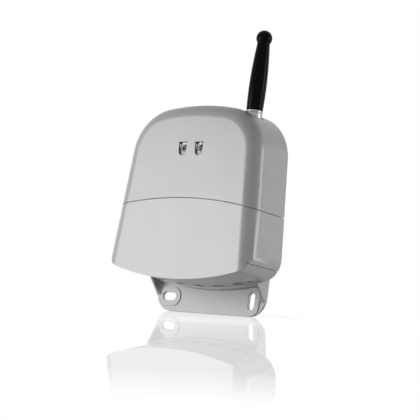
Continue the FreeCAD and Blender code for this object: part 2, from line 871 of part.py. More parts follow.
def make_base():
    inset = "wall + fit_gap"
    back_plate = housing_form("BackPlate", inset, "0", "rim_depth", rounded=False)
    past_rim = "rim_depth + run_out"
    hollow = housing_form("BackHollow", f"{inset} + rim_thick", "base_wall", past_rim, rounded=False)
    tray_high = "lower_seam_height - seam_gap / 2"
    rim_waste = block("RimWaste", ALL_ACROSS, ("base_wall", past_rim), ("-run_out", f"{tray_high} - past"))
    lug_space = ("lug_height - fit_gap", "lug_height + lug_thick + fit_gap")
    rim_notches = [
        block(f"{name}RimNotch", across, ("base_wall + fit_gap", past_rim), lug_space)
        for name, across in (
            ("Left", ("-lug_outer_x", "-lug_inner_x")),
            ("Right", ("lug_inner_x", "lug_outer_x")),
        )
    ]
    groove_depth = ("seal_ahead - seal_clearance", "seal_ahead + seal_width + seal_clearance")
    groove_floor = housing_form(
        "GrooveFloor",
        f"{inset} + seal_sink + seal_clearance",
        f"{groove_depth[0]} - past",
        f"{groove_depth[1]} + past",
        rounded=False,
    )
    groove_blank = block(
        "GrooveBlank", ALL_ACROSS, groove_depth, ("seal_start - seal_clearance", "housing_height + run_out")
    )
    groove = cut("SealGroove", groove_blank, groove_floor)
    rim_notches.append(
        pillar(
            "WellNotch",
            "antenna_x",
            "antenna_ahead",
            ("board_high", "housing_height + run_out"),
            "well_radius + well_wall + fit_gap",
        )
    )
    plate = cut("BackPlateTrimmed", back_plate, hollow, rim_waste, *rim_notches, groove)
    low_space = ("-run_out", tray_high)
    foot_space = block("FootSpace", ALL_ACROSS, ("0", "base_wall"), low_space)
    foot = common("BackPlateFoot", outer_form, foot_space)
    tray_space = block("TraySpace", ALL_ACROSS, ("0", "inner_front - seam_gap"), low_space)
    tray = common("BottomTray", shell, tray_space)
    pieces = [plate, foot, tray]
    holes = []
    for number, (x, height) in enumerate(BOARD_SCREWS):
        depth = ("base_wall - weld", "board_ahead")
        pieces.append(post(f"Standoff{number}", x, height, depth, "standoff_radius"))
        holes.append(
            post(
                f"StandoffHole{number}",
                x,
                height,
                ("board_ahead - board_screw_length", "board_ahead + past"),
                "board_screw_radius + screw_clearance",
            )
        )
    for number, (x, height) in enumerate(BRACKET_SCREWS):
        holes.append(post(f"BaseHole{number}", x, height, ("-past", "base_wall + past"), "screw_hole"))
    for number, (x, height) in enumerate(COVER_SCREWS):
        depth = ("base_wall - weld", "cover_pad_depth")
        pieces.append(post(f"CoverPad{number}", x, height, depth, "cover_pad_radius"))
        depth = ("-past", "cover_pad_depth + past")
        holes.append(post(f"CoverHole{number}", x, height, depth, "screw_hole"))
        depth = ("-past", "screw_head_thick + fit_gap")
        holes.append(post(f"CoverHeadHole{number}", x, height, depth, "head_hole"))
    for number in range(-2, 3):
        x = f"({number} * entry_pitch)"
        seat = f"({bottom_at(x)} + entry_seat)"
        place = (x, "entry_ahead")
        height = (seat, f"{seat} + entry_wall")
        pieces.append(pillar(f"EntryBoss{number + 2}", *place, height, "entry_boss_radius"))
        holes.append(pillar(f"EntryRecess{number + 2}", *place, ("-run_out", seat), "entry_recess_radius"))
        height = ("-run_out", "2 * run_out")
        holes.append(pillar(f"EntryHole{number + 2}", *place, height, "entry_hole_radius"))
    for name, sign in SIDES:
        x = f"{sign}lug_x"
        shelf_low = "lug_height + lug_thick + fit_gap"
        height = ("lug_boss_root", "lug_height - fit_gap")
        pieces.append(pillar(f"{name}LugBoss", x, "lug_ahead", height, "lug_boss_radius"))
        pieces.append(
            block(
                f"{name}Shelf",
                (f"{x} - shelf_half_width", f"{x} + shelf_half_width"),
                ("base_wall - weld", "shelf_depth"),
                (shelf_low, f"{shelf_low} + shelf_thick"),
            )
        )
        holes.append(pillar(f"{name}LugHead", x, "lug_ahead", ("-run_out", "lug_head_seat"), "head_hole"))
        holes.append(pillar(f"{name}LugHole", x, "lug_ahead", ("0", "lug_height"), "screw_hole"))
        height = ("lug_height", f"{shelf_low} + shelf_thick + past")
        holes.append(pillar(f"{name}ShelfHole", x, "lug_ahead", height, "thread_hole"))
    whole = fuse("BaseBlank", *pieces)
    node(cut("RearBase", whole, *holes), "rear_base")

    # Seal: a strip in the rim's groove, clear of the covers that slide over it.
    seal_depth = ("seal_ahead", "seal_ahead + seal_width")
    past_seal = ("seal_ahead - past", "seal_ahead + seal_width + past")
    seal_outer = housing_form("SealOuter", "wall + seal_clearance", *seal_depth, rounded=False)
    seal_inner = housing_form("SealInner", f"{inset} + seal_sink", *past_seal, rounded=False)
    seal_space = block("SealSpace", ALL_ACROSS, seal_depth, ("seal_start", "housing_height"))
    node(common("HousingSeal", cut("SealRing", seal_outer, seal_inner), seal_space), "housing_seal")


make_base()


# Upper cover: the shell above the arched seam, with its tongue, screw bosses, antenna well and windows


def window(name, side, grow, rear, front):
    """A window's outline: a flat top, sides that lean in and a round foot, grown by a margin."""
    x = f"{side}light_x"
    radius = f"(window_foot_radius + ({grow}))"
    foot = up("window_low + window_foot_radius")
    top = up(f"window_high + ({grow})")
    half = f"({radius} * cos(window_side_lean))"
    low = f"({foot} - {radius} * sin(window_side_lean))"
    wide = f"(window_top_half_width + ({grow}))"
    corners = [
        (f"{x} + {wide}", top),
        (f"{x} - {wide}", top),
        (f"{x} - {half}", low),
        (f"{x} + {half}", low, radius, 1),
    ]
    return prism(name, corners, rear, front)


def make_upper_cover():
    above = seam_band("AboveSeam", "seam_gap / 2", "housing_height")
    shell_part = common("UpperShell", shell, above)
    tongue_rear = "rim_depth + fit_gap"
    tongue_front = "inner_front - fit_gap - tongue_thick"
    tongue_inner = housing_form("TongueInner", "wall + fit_gap + tongue_thick", "-run_out", tongue_front)
    tongue_outer = housing_form("TongueOuter", "wall + fit_gap", tongue_rear, "inner_front - fit_gap")
    root_outer = housing_form("TongueRootOuter", "wall - weld", tongue_rear, "inner_front + weld")
    tongue = common(
        "Tongue",
        cut("TongueRing", tongue_outer, tongue_inner),
        seam_band("TongueBand", "-tongue_drop", "tongue_root / 2"),
    )
    root = common(
        "TongueRoot",
        cut("TongueRootRing", root_outer, tongue_inner),
        seam_band("TongueRootBand", "seam_gap / 2", "tongue_root"),
    )
    pieces = [shell_part, tongue, root]
    holes = []
    boss_rear = "cover_pad_depth + fit_gap"
    for number, (x, height) in enumerate(COVER_SCREWS):
        depth = (boss_rear, "inner_front + weld")
        pieces.append(post(f"CoverBoss{number}", x, height, depth, "cover_boss_radius"))
        depth = (f"{boss_rear} - past", "screw_head_thick + screw_length + past")
        holes.append(post(f"CoverThread{number}", x, height, depth, "thread_hole"))
    well_low = "well_floor - well_floor_thick"
    place = ("antenna_x", "antenna_ahead")
    well_high = "housing_height + run_out"
    well = pillar("WellBlank", *place, (well_low, well_high), "well_radius + well_wall")
    pieces.append(common("WellTube", well, outer_form))
    holes.append(pillar("WellBore", *place, ("well_floor", well_high), "well_radius"))
    height = (f"{well_low} - past", "well_floor + past")
    holes.append(pillar("SocketHole", *place, height, "socket_thread_hole"))
    for name, sign in SIDES:
        holes.append(window(f"{name}Window", sign, "0", "inner_front - past", "housing_depth + past"))
    node(cut("UpperCover", fuse("UpperBlank", *pieces), *holes), "upper_cover")


make_upper_cover()


# Lower cover: the shell below the seam, open underneath for the rear base, with two slotted lugs


def make_lower_cover():
    below = seam_band("BelowSeam", "-seam_crown - run_out", "-seam_gap / 2")
    shell_part = common("LowerShell", shell, below)
    open_below = ("-run_out", "lower_seam_height + seam_gap / 2")
    tray_space = block("TrayClearance", ALL_ACROSS, ("-run_out", "inner_front"), open_below)
    pieces = [cut("LowerShellOpen", shell_part, tray_space)]
    slots = []
    for name, sign in SIDES:
        owner = body(f"{name}Lug")
        corners = [
            (f"{sign}lug_outer_x", f"-{ahead('lug_rear')}"),
            (f"{sign}lug_inner_x", f"-{ahead('lug_rear')}"),
            (f"{sign}lug_inner_x", f"-{ahead('lug_front')}"),
            (f"{sign}(lug_x + lug_boss_radius)", f"-{ahead('lug_front')}"),
            (f"{sign}lug_outer_x", f"-{ahead('lug_root_front')}"),
        ]
        pad(owner, trace(sketch(owner, "XY_Plane", out=up("lug_height")), corners), "lug_thick")
        pieces.append(owner)
        x = f"{sign}lug_x"
        height = ("lug_height - past", "lug_height + lug_thick + past")
        slots.append(pillar(f"{name}SlotEnd", x, "lug_ahead", height, "lug_slot_radius"))
        slots.append(
            block(
                f"{name}SlotMouth",
                (f"{x} - lug_slot_radius", f"{x} + lug_slot_radius"),
                ("0", "lug_ahead"),
                height,
            )
        )
    node(cut("LowerCover", fuse("LowerBlank", *pieces), *slots), "lower_cover")


make_lower_cover()


# Screws


def forward_screws(name, places, head_rear, head_radius, head_thick, shank_radius, shank, forward):
    """Like screws that point forward or back, with their heads at one depth."""
    made = []
    head = (head_rear, f"{head_rear} + {head_thick}")
    run = (head[1], f"{head[1]} + {shank}") if forward else (f"{head_rear} - {shank}", head_rear)
    for number, (x, height) in enumerate(places):
        cap = post(f"{name}Head{number}", x, height, head, head_radius)
        stem = post(f"{name}Stem{number}", x, height, run, shank_radius)
        made.append(fuse(f"{name}One{number}", cap, stem))
    return group(name, *made)


def make_screws():
    head = ("screw_head_radius", "screw_head_thick", "screw_shank_radius")
    node(
        forward_screws("UpperScrews", COVER_SCREWS, "fit_gap", *head, "screw_length", True),
        "upper_cover_screws",
    )
    node(
        forward_screws("BracketScrews", BRACKET_SCREWS, "base_wall", *head, "bracket_screw_length", False),
        "bracket_screws",
    )
    head = ("board_screw_head_radius", "board_screw_head_thick", "board_screw_radius")
    node(
        forward_screws("BoardScrews", BOARD_SCREWS, "board_front", *head, "board_screw_length", False),
        "board_screws",
    )
    made = []
    for name, sign in SIDES:
        x = f"{sign}lug_x"
        top = "lug_height + lug_thick + fit_gap + shelf_thick - past"
        seat = "lug_head_seat"
        head = (f"{seat} - screw_head_thick", seat)
        cap = pillar(f"{name}LugCap", x, "lug_ahead", head, "screw_head_radius")
        stem = pillar(f"{name}LugStem", x, "lug_ahead", (seat, top), "screw_shank_radius")
        made.append(fuse(f"{name}LugScrew", cap, stem))
    node(group("LowerScrews", *made), "lower_cover_screws")


make_screws()


# Cable grommets in the bottom wall


def make_grommets():
    seat = "grommet_lip_thick"
    snap = f"({seat} + entry_wall)"
    top = f"({snap} + grommet_snap_thick)"
    for number in range(-2, 3):
        x = f"({number} * entry_pitch)"
        base = f"{bottom_at(x)} + entry_seat - grommet_lip_thick"
        corners = [
            ("grommet_bore_radius", "0"),
            ("grommet_lip_radius - grommet_edge", "0"),
            ("grommet_lip_radius", "grommet_edge"),
            ("grommet_lip_radius", seat),
            ("grommet_stem_radius", seat),
            ("grommet_stem_radius", snap),
            ("grommet_snap_radius", snap),
            ("grommet_stem_radius", top),
            ("grommet_bore_radius", top),
        ]
        node(turned(f"Grommet{number + 2}", x, "entry_ahead", base, corners), f"cable_grommet_{number + 3}")


make_grommets()


# Circuit board and what stands on it


def make_board():
    across = ("-board_half_width", "board_half_width")
    outline = rounded_corners(across, ("board_low", "board_high"), "board_corner_radius")
    board = prism("BoardBlank", outline, "board_ahead", "board_front")
    depth = ("board_ahead - past", "board_front + past")
    radius = "board_screw_radius + screw_hole_clearance"
    holes = [
        post(f"BoardHole{number}", x, height, depth, radius)
        for number, (x, height) in enumerate(BOARD_SCREWS)
    ]
    node(cut("CircuitBoard", board, *holes), "circuit_board")


def make_terminals():
    screws = []
    for number in range(3):
        middle = f"(({number} - 1) * terminal_block_pitch)"
        low = f"({middle} - 1.5 * terminal_pitch)"
        blank = block(
            f"TerminalBlank{number}",
            (low, f"{low} + 3 * terminal_pitch"),
            ("board_front", "board_front + terminal_depth"),
            ("terminal_low", "terminal_low + terminal_height"),
        )
        holes = []
        for pole in range(3):
            x = f"({low} + {pole + 0.5} * terminal_pitch)"
            rear = "board_front + terminal_entry_ahead"
            holes.append(
                block(
                    f"WireEntry{number}{pole}",
                    (f"{x} - terminal_entry / 2", f"{x} + terminal_entry / 2"),
                    (rear, f"{rear} + terminal_entry"),
                    ("terminal_low - past", "terminal_low + terminal_screw_height"),
                )
            )
            height = "terminal_low + terminal_screw_height"
            front = "board_front + terminal_depth"
            depth = (f"{front} - terminal_screw_depth", f"{front} + past")
            radius = "terminal_screw_radius + screw_clearance"
            holes.append(post(f"TerminalHole{number}{pole}", x, height, depth, radius))
            depth = (f"{front} - terminal_screw_depth", f"{front} - terminal_screw_sink")
            screws.append(post(f"TerminalScrew{number}{pole}", x, height, depth, "terminal_screw_radius"))
        node(cut(f"Terminal{number}", blank, *holes), f"terminal_block_{number + 1}")
    node(group("TerminalScrews", *screws), "terminal_screws")


def make_relays():
    for number in range(2):
        low = f"(relay_first_x + {number} * relay_pitch)"
        height = ("relay_low", "relay_low + relay_height")
        outline = rounded_corners((low, f"{low} + relay_width"), height, "relay_edge")
        case = prism(f"Relay{number}", outline, "board_front", "board_front + relay_depth")
        node(case, f"relay_{number + 1}")


def make_transformer():
    left, right = "(transformer_x - transformer_width / 2)", "(transformer_x + transformer_width / 2)"
    low, high = "transformer_low", "(transformer_low + transformer_height)"
    front = "(board_front + transformer_depth)"
    depth = ("board_front + transformer_frame", f"{front} - transformer_frame")
    core = block("CoreBlank", (left, right), depth, (low, high))
    opening = block(
        "CoreWindow",
        (f"{left} + transformer_frame", f"{right} - transformer_frame"),
        ("board_front", front),
        (f"{low} + transformer_frame", f"{high} - transformer_frame"),
    )
    node(cut("TransformerCore", core, opening), "transformer_core")
    node(
        block(
            "TransformerCoil",
            (f"{left} + transformer_frame + fit_gap", f"{right} - transformer_frame - fit_gap"),
            ("board_front", front),
            (f"{low} + transformer_frame + fit_gap", f"{high} - transformer_frame - fit_gap"),
        ),
        "transformer_coil",
    )


def make_fuse():
    half = "fuse_length / 2"
    glass_half = f"({half} - fuse_cap_length)"
    place = ("fuse_ahead", "fuse_height")
    glass_span = (f"fuse_x - {glass_half}", f"fuse_x + {glass_half}")
    tube = bar("FuseGlass", glass_span, *place, "fuse_radius - fuse_cap_thick")
    caps = [
        bar("FuseCapLeft", (f"fuse_x - {half}", f"fuse_x - {glass_half}"), *place, "fuse_radius"),
        bar("FuseCapRight", (f"fuse_x + {glass_half}", f"fuse_x + {half}"), *place, "fuse_radius"),
    ]
    node(tube, "fuse_glass")
    node(group("FuseCaps", *caps), "fuse_caps")
    clips = []
    grip = "(fuse_radius + screw_clearance)"
    for name, sign in (("Left", "-"), ("Right", "+")):
        x = f"(fuse_x {sign} ({half} - fuse_cap_length / 2))"
        span = (f"{x} - clip_width / 2", f"{x} + clip_width / 2")
        wide = f"({grip} + clip_thick)"
        blank = block(
            f"{name}ClipBlank",
            span,
            ("board_front", "fuse_ahead + fuse_radius / 2"),
            (f"fuse_height - {wide}", f"fuse_height + {wide}"),
        )
        throat = bar(f"{name}ClipThroat", (f"{x} - clip_width", f"{x} + clip_width"), *place, grip)
        gap = block(
            f"{name}ClipGap",
            (f"{x} - clip_width", f"{x} + clip_width"),
            ("board_front + clip_thick", "fuse_ahead - fuse_radius - clip_thick"),
            (f"fuse_height - {grip}", f"fuse_height + {grip}"),
        )
        mouth = block(
            f"{name}ClipMouth",
            (f"{x} - clip_width", f"{x} + clip_width"),
            ("fuse_ahead", "fuse_ahead + fuse_radius"),
            ("fuse_height - fuse_radius / 2", "fuse_height + fuse_radius / 2"),
        )
        clips.append(cut(f"{name}Clip", blank, throat, gap, mouth))
    node(group("FuseClips", *clips), "fuse_clips")


def make_small_components():
    node(
        post(
            "Capacitor",
            "capacitor_x",
            "capacitor_height",
            ("board_front", "board_front + capacitor_length"),
            "capacitor_radius",
        ),
        "smoothing_capacitor",
    )
    node(
        block(
            "Chip",
            ("chip_x - chip_size / 2", "chip_x + chip_size / 2"),
            ("board_front", "board_front + chip_thick"),
            ("chip_height - chip_size / 2", "chip_height + chip_size / 2"),
        ),
        "controller_chip",
    )


def make_radio():
    left, right = "(radio_x - radio_half_width)", "(radio_x + radio_half_width)"
    carrier = block(
        "RadioBoardBlank", (left, right), ("radio_rear", "radio_front"), ("radio_low", "radio_high")
    )
    strip = block(
        "RadioPins",
        (f"{left} + shield_margin", f"{right} - shield_margin"),
        ("board_front", "radio_rear"),
        ("radio_low + radio_pin_inset", "radio_low + radio_pin_inset + radio_pin_width"),
    )
    node(fuse("RadioBoard", carrier, strip), "radio_module_board")
    can = block(
        "ShieldBlank",
        (f"{left} + shield_margin", f"{right} - shield_margin"),
        ("radio_front", "radio_front + shield_depth"),
        ("radio_low + shield_margin", "radio_high - shield_top_margin - shield_margin"),
    )
    node(can, "radio_shield")


def make_buttons():
    for number in range(2):
        x = f"(button_first_x + {number} * button_pitch)"
        half = "button_size / 2"
        front = "(board_front + button_body_depth)"
        case = block(
            f"ButtonCase{number}",
            (f"{x} - {half}", f"{x} + {half}"),
            ("board_front", front),
            (f"button_height - {half}", f"button_height + {half}"),
        )
        guide = f"({front} - button_cap_guide)"
        hole_rear = f"{guide} - button_travel - button_cap_clearance"
        place = (x, "button_height")
        radius = "button_cap_radius + button_cap_clearance"
        hole = post(f"ButtonHole{number}", *place, (hole_rear, f"{front} + past"), radius)
        node(cut(f"ButtonBody{number}", case, hole), f"learn_button_body_{number + 1}")
        cap = post(f"ButtonCap{number}", *place, (guide, f"{guide} + button_cap_depth"), "button_cap_radius")
        node(cap, f"learn_button_cap_{number + 1}")


make_board()
make_terminals()
make_relays()
make_transformer()
make_fuse()
make_small_components()
make_radio()
make_buttons()


# Status lights: spacer, lamp, reflector and lens stacked from the board to each window


def make_lights():
    lens_rear = "(inner_front - lens_flange_thick)"
    lamp_front = f"({lens_rear} - lamp_gap)"
    lamp_rear = f"({lamp_front} - lamp_length)"
    flange_front = f"({lamp_rear} + lamp_flange_thick)"
    height = "(window_low + window_high) / 2"
    for name, sign in SIDES:
        x = f"{sign}light_x"
        spacer = post(f"{name}SpacerBlank", x, height, ("board_front", lamp_rear), "lamp_flange_radius")
        depth = ("board_front - past", f"{lamp_rear} + past")
        bore = post(f"{name}SpacerBore", x, height, depth, "lamp_wire_bore")
        node(cut(f"{name}Spacer", spacer, bore), f"lamp_spacer_{name}")

        flange = post(f"{name}LampFlange", x, height, (lamp_rear, flange_front), "lamp_flange_radius")
        stem = post(f"{name}LampStem", x, height, (lamp_rear, f"{lamp_front} - lamp_radius"), "lamp_radius")
        dome = doc.addObject("Part::Sphere", f"{name}LampDome")
        bind(dome, Radius="lamp_radius", Placement__Base__x=x, Placement__Base__z=up(height))
        bind(dome, Placement__Base__y=f"-{ahead(f'{lamp_front} - lamp_radius')}")
        node(fuse(f"{name}Lamp", flange, stem, dome), f"status_lamp_{name}")

        cup = post(f"{name}Cup", x, height, (flange_front, lens_rear), "reflector_radius")
        cone = doc.addObject("Part::Cone", f"{name}CupBore")
        cone.Placement.Rotation = Rotation(Vector(1, 0, 0), 90)
        bind(cone, Radius1="lamp_radius + screw_clearance", Radius2="reflector_mouth_radius")
        bind(cone, Height=f"{lens_rear} - {flange_front}")
        bind(cone, Placement__Base__x=x, Placement__Base__z=up(height))
        bind(cone, Placement__Base__y=f"-{ahead(flange_front)}")
        node(cut(f"{name}Reflector", cup, cone), f"lamp_reflector_{name}")

        face = window(f"{name}LensFace", sign, "-lens_clearance", lens_rear, "housing_depth - lens_sink")
        rear = window(f"{name}LensFlange", sign, "lens_flange_margin", lens_rear, "inner_front")
        node(fuse(f"{name}Lens", face, rear), f"window_lens_{name}")


make_lights()


# Antenna socket with its gasket, nut and insulator


def make_socket():
    place = ("antenna_x", "antenna_ahead")
    floor = "socket_floor"
    gasket = pillar("GasketBlank", *place, ("well_floor", floor), "socket_flange_radius")
    hole = pillar("GasketHole", *place, ("well_floor - past", f"{floor} + past"), "socket_thread_hole")
    node(cut("Gasket", gasket, hole), "socket_gasket")

    barrel_top = "(socket_flange_thick + socket_barrel_height)"
    bore_floor = "(socket_flange_thick + socket_bore_floor)"
    core = "(socket_core_radius + pin_clearance)"
    corners = [
        (core, "-socket_shank_length"),
        ("socket_shank_radius", "-socket_shank_length"),
        ("socket_shank_radius", "0"),
        ("socket_flange_radius", "0"),
        ("socket_flange_radius", "socket_flange_thick"),
        ("socket_barrel_radius", "socket_flange_thick"),
        ("socket_barrel_radius", barrel_top),
        ("socket_bore_radius", barrel_top),
        ("socket_bore_radius", bore_floor),
        (core, bore_floor),
    ]
    shell_piece = turned("SocketShell", *place, floor, corners)
    studs = bar(
        "SocketStuds",
        ("antenna_x - stud_reach", "antenna_x + stud_reach"),
        "antenna_ahead",
        f"{floor} + stud_height",
        "stud_radius",
    )
    clear = pillar("StudTrim", *place, (floor, f"{floor} + {barrel_top} + past"), "socket_bore_radius")
    node(fuse("Socket", shell_piece, cut("Studs", studs, clear)), "antenna_socket")

    nut_low = "(well_floor - well_floor_thick - nut_thick)"
    nut = doc.addObject("Part::Prism", "NutBlank")
    nut.Polygon = 6
    bind(nut, Circumradius="nut_radius", Height="nut_thick", Placement__Base__x="antenna_x")
    bind(nut, Placement__Base__y=f"-{ahead('antenna_ahead')}", Placement__Base__z=up(nut_low))
    height = (f"{nut_low} - past", f"{nut_low} + nut_thick + past")
    hole = pillar("NutHole", *place, height, "socket_thread_hole")
    node(cut("Nut", nut, hole), "socket_nut")

    low = "(-socket_shank_length - insulator_tail)"
    high = f"({barrel_top} - insulator_sink)"
    bore = "(pin_radius + pin_clearance)"
    corners = [
        ("0", low),
        ("socket_core_radius", low),
        ("socket_core_radius", high),
        (bore, high),
        (bore, bore_floor),
        ("0", bore_floor),
    ]
    node(turned("Insulator", *place, floor, corners), "socket_insulator")


make_socket()


# Antenna: coupling sleeve, metal core, contact pin and the rubber stub over them


def make_antenna():
    place = ("antenna_x", "antenna_ahead")
    lip = "(sleeve_length - sleeve_lip_thick)"
    corners = [
        ("sleeve_bore_radius", "0"),
        ("sleeve_radius - sleeve_edge", "0"),
        ("sleeve_radius", "sleeve_edge"),
        ("sleeve_radius", "sleeve_length - sleeve_edge"),
        ("sleeve_radius - sleeve_edge", "sleeve_length"),
        ("sleeve_lip_radius", "sleeve_length"),
        ("sleeve_lip_radius", lip),
        ("sleeve_bore_radius", lip),
    ]
    node(turned("Sleeve", *place, "well_floor + sleeve_lift", corners), "antenna_coupling")

    core = "(finger_core_radius + antenna_core_gap)"
    corners = [
        ("finger_radius - finger_thick", "-finger_length"),
        ("finger_radius", "-finger_length"),
        ("finger_radius", "0"),
        ("collar_radius", "0"),
        ("collar_radius", "collar_thick"),
        (core, "collar_thick"),
        (core, "0"),
        ("finger_radius - finger_thick", "-finger_thick"),
    ]
    node(turned("AntennaCore", *place, "core_foot", corners), "antenna_core")

    corners = [
        ("0", "-antenna_pin_length"),
        ("pin_radius", "-antenna_pin_length"),
        ("pin_radius", "0"),
        ("finger_core_radius", "0"),
        ("finger_core_radius", "collar_thick"),
        ("antenna_wire_radius", "collar_thick"),
        ("antenna_wire_radius", "collar_thick + antenna_wire_length"),
        ("0", "collar_thick + antenna_wire_length"),
    ]
    node(turned("AntennaPin", *place, "core_foot", corners), "antenna_pin")

    ball = "(antenna_length - antenna_ball_radius)"
    meet = f"({ball} - sqrt(antenna_ball_radius^2 - antenna_neck_radius^2))"
    collar = "(collar_radius + antenna_core_gap)"
    collar_top = "(collar_thick + 2 * antenna_core_gap)"
    wire = "(antenna_wire_radius + antenna_core_gap)"
    wire_top = "(collar_thick + antenna_wire_length + 2 * antenna_core_gap)"
    corners = [
        (collar, "0"),
        ("antenna_foot_radius - antenna_foot_edge", "0"),
        ("antenna_foot_radius", "antenna_foot_edge", "antenna_foot_edge", 1),
        ("antenna_wide_radius", "antenna_wide_rise", "antenna_flank_radius", 1),
        ("antenna_neck_radius", "antenna_neck_rise", "antenna_flank_radius", 1),
        ("antenna_neck_radius", meet),
        ("0", "antenna_length", "antenna_ball_radius", 1),
        ("0", wire_top),
        (wire, wire_top),
        (wire, collar_top),
        (collar, collar_top),
    ]
    node(turned("AntennaRubber", *place, "antenna_foot", corners), "antenna_stub")


make_antenna()


# Antenna lead: from the plug on the radio module to the socket's rear, on one plane


def make_lead():
    line = "(radio_front + lead_plug_thick / 2)"
    low = "(lead_plug_height + lead_barrel_length)"
    high = "(socket_floor - socket_shank_length - insulator_tail)"
    shift = f"(antenna_ahead - {line})"
    climb = f"({high} - {low} - 2 * lead_straight)"
    bend = f"(({climb}^2 + {shift}^2) / (4 * {shift}))"
    y_low = f"-{ahead(line)}"
    y_high = f"-{ahead('antenna_ahead')}"
    corners = [
        (y_low, up(low)),
        (y_low, up(f"{low} + lead_straight")),
        (f"({y_low} + {y_high}) / 2", up(f"({low} + {high}) / 2"), bend, 1),
        (y_high, up(f"{high} - lead_straight"), bend, -1),
        (y_high, up(high)),
    ]
    owner = body("Lead")
    path = trace(sketch(owner, "YZ_Plane", out="antenna_x"), corners, closed=False)
    face = sketch(owner, "XY_Plane", across="antenna_x", upward=y_low, out=up(low))
    ring_hole(face, "lead_radius")
    doc.recompute()
    tube = owner.newObject("PartDesign::AdditivePipe", "LeadTube")
    tube.Profile = face
    tube.Spine = path
    node(owner, "antenna_lead")
    print("antenna lead bend radius", round(value(bend), 2), "mm")

    button = post(
        "PlugButton",
        "antenna_x",
        "lead_plug_height",
        ("radio_front", "radio_front + lead_plug_thick"),
        "lead_plug_radius",
    )
    barrel = pillar("PlugBarrel", "antenna_x", line, ("lead_plug_height", low), "lead_barrel_radius")
    node(fuse("LeadPlug", button, barrel), "antenna_lead_plug")


make_lead()

doc.recompute()
faults = [item.Name for item in doc.Objects if "Invalid" in item.State or "Error" in item.State]
for name, item in NODES.items():
    if item.Shape.isNull() or not item.Shape.isValid() or not item.Shape.Solids:
        faults.append(name)
if faults:
    raise RuntimeError(f"these objects failed: {faults}")
for name, item in NODES.items():
    item.Shape.exportStep(f"parts/{name}.step")
print(len(NODES), "pieces,", sum(len(item.Shape.Solids) for item in NODES.values()), "solids")
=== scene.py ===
import json
import math

import bmesh
import bpy
from mathutils import Matrix, Vector


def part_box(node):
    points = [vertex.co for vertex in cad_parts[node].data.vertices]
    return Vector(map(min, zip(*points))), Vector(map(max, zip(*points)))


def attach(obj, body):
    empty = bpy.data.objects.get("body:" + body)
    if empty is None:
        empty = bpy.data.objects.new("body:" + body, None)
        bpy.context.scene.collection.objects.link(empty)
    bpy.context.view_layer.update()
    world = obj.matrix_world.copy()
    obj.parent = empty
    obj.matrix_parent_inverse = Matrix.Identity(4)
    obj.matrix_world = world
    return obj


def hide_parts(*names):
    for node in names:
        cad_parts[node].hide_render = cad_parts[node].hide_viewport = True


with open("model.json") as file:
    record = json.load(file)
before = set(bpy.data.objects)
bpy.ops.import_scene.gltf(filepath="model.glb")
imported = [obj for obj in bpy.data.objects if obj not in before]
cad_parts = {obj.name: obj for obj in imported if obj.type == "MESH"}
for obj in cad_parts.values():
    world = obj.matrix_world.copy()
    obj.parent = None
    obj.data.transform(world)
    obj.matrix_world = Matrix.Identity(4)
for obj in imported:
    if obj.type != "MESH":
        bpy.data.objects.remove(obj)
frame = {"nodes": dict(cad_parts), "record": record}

# Radio receiver module: a satin two-cover housing on a cast bracket, with a rubber stub antenna.
# The frame: +Z up, +X to the right as seen from the front, -Y out from the wall, in metres.
# "Ahead" is a distance from the housing's back to the front, "height" one above its lowest point.

bl_info = {
    "name": "Radio receiver module",
    "version": (1, 0, 0),
    "blender": (4, 5, 0),
    "location": "3D View > Sidebar > Receiver",
    "description": "Models the housing, bracket, antenna and inner parts of the receiver",
    "category": "Object",
}

MM = 0.001
NEAR = MM / 50  # how close a vertex on a line or face lies to it
CLEAR = MM / 10  # how far a vertex beside a line or face lies from it
WELD = 0.002 * MM  # how close two ends of an outline are that join up
SHARP = math.radians(30)  # an edge that turns more than this counts as sharp
FLAT = math.radians(0.4)  # facets of a node that turn less than this become one
CREASE = math.radians(35)  # an edge of a node that turns more than this is softened
UPWARD = (0, 0, 1)
FORWARD = (0, -1, 0)
SIDES = (-1, 1)  # left and right
WHITE = (1.0, 1.0, 1.0)

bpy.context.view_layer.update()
BASE_LOW, BASE_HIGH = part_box("rear_base")
COVER_LOW, COVER_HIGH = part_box("upper_cover")
BRACKET_LOW, BRACKET_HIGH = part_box("wall_bracket")
STUB_LOW, STUB_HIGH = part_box("antenna_stub")
SLEEVE_LOW, SLEEVE_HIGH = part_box("antenna_coupling")
ANTENNA = (STUB_LOW + STUB_HIGH) / 2
LENS_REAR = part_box("window_lens_left")[1].y
BACK = BASE_HIGH.y
FOOT = BASE_LOW.z


# Sizes and colours


def length(description, millimetres):
    """A length that a user may change."""
    return bpy.props.FloatProperty(
        description=description, default=millimetres * MM, unit="LENGTH", precision=5
    )


def angle(description, degrees):
    """An angle that a user may change."""
    return bpy.props.FloatProperty(
        description=description, default=math.radians(degrees), subtype="ANGLE", unit="ROTATION"
    )


def share(description, default):
    """A number between 0 and 1 that a user may change."""
    return bpy.props.FloatProperty(description=description, default=default, min=0.0, max=1.0)


def amount(description, default):
    """A number from 0 up that a user may change."""
    return bpy.props.FloatProperty(description=description, default=default, min=0.0)


def tint(description, *default):
    """A colour that a user may change."""
    return bpy.props.FloatVectorProperty(
        description=description, default=default, size=3, min=0.0, max=1.0, subtype="COLOR"
    )


def labelled(group):
    """Labels each setting of a group with its own name, in words."""
    for name, setting in group.__annotations__.items():
        setting.keywords["name"] = name.replace("_", " ").capitalize()
    return group


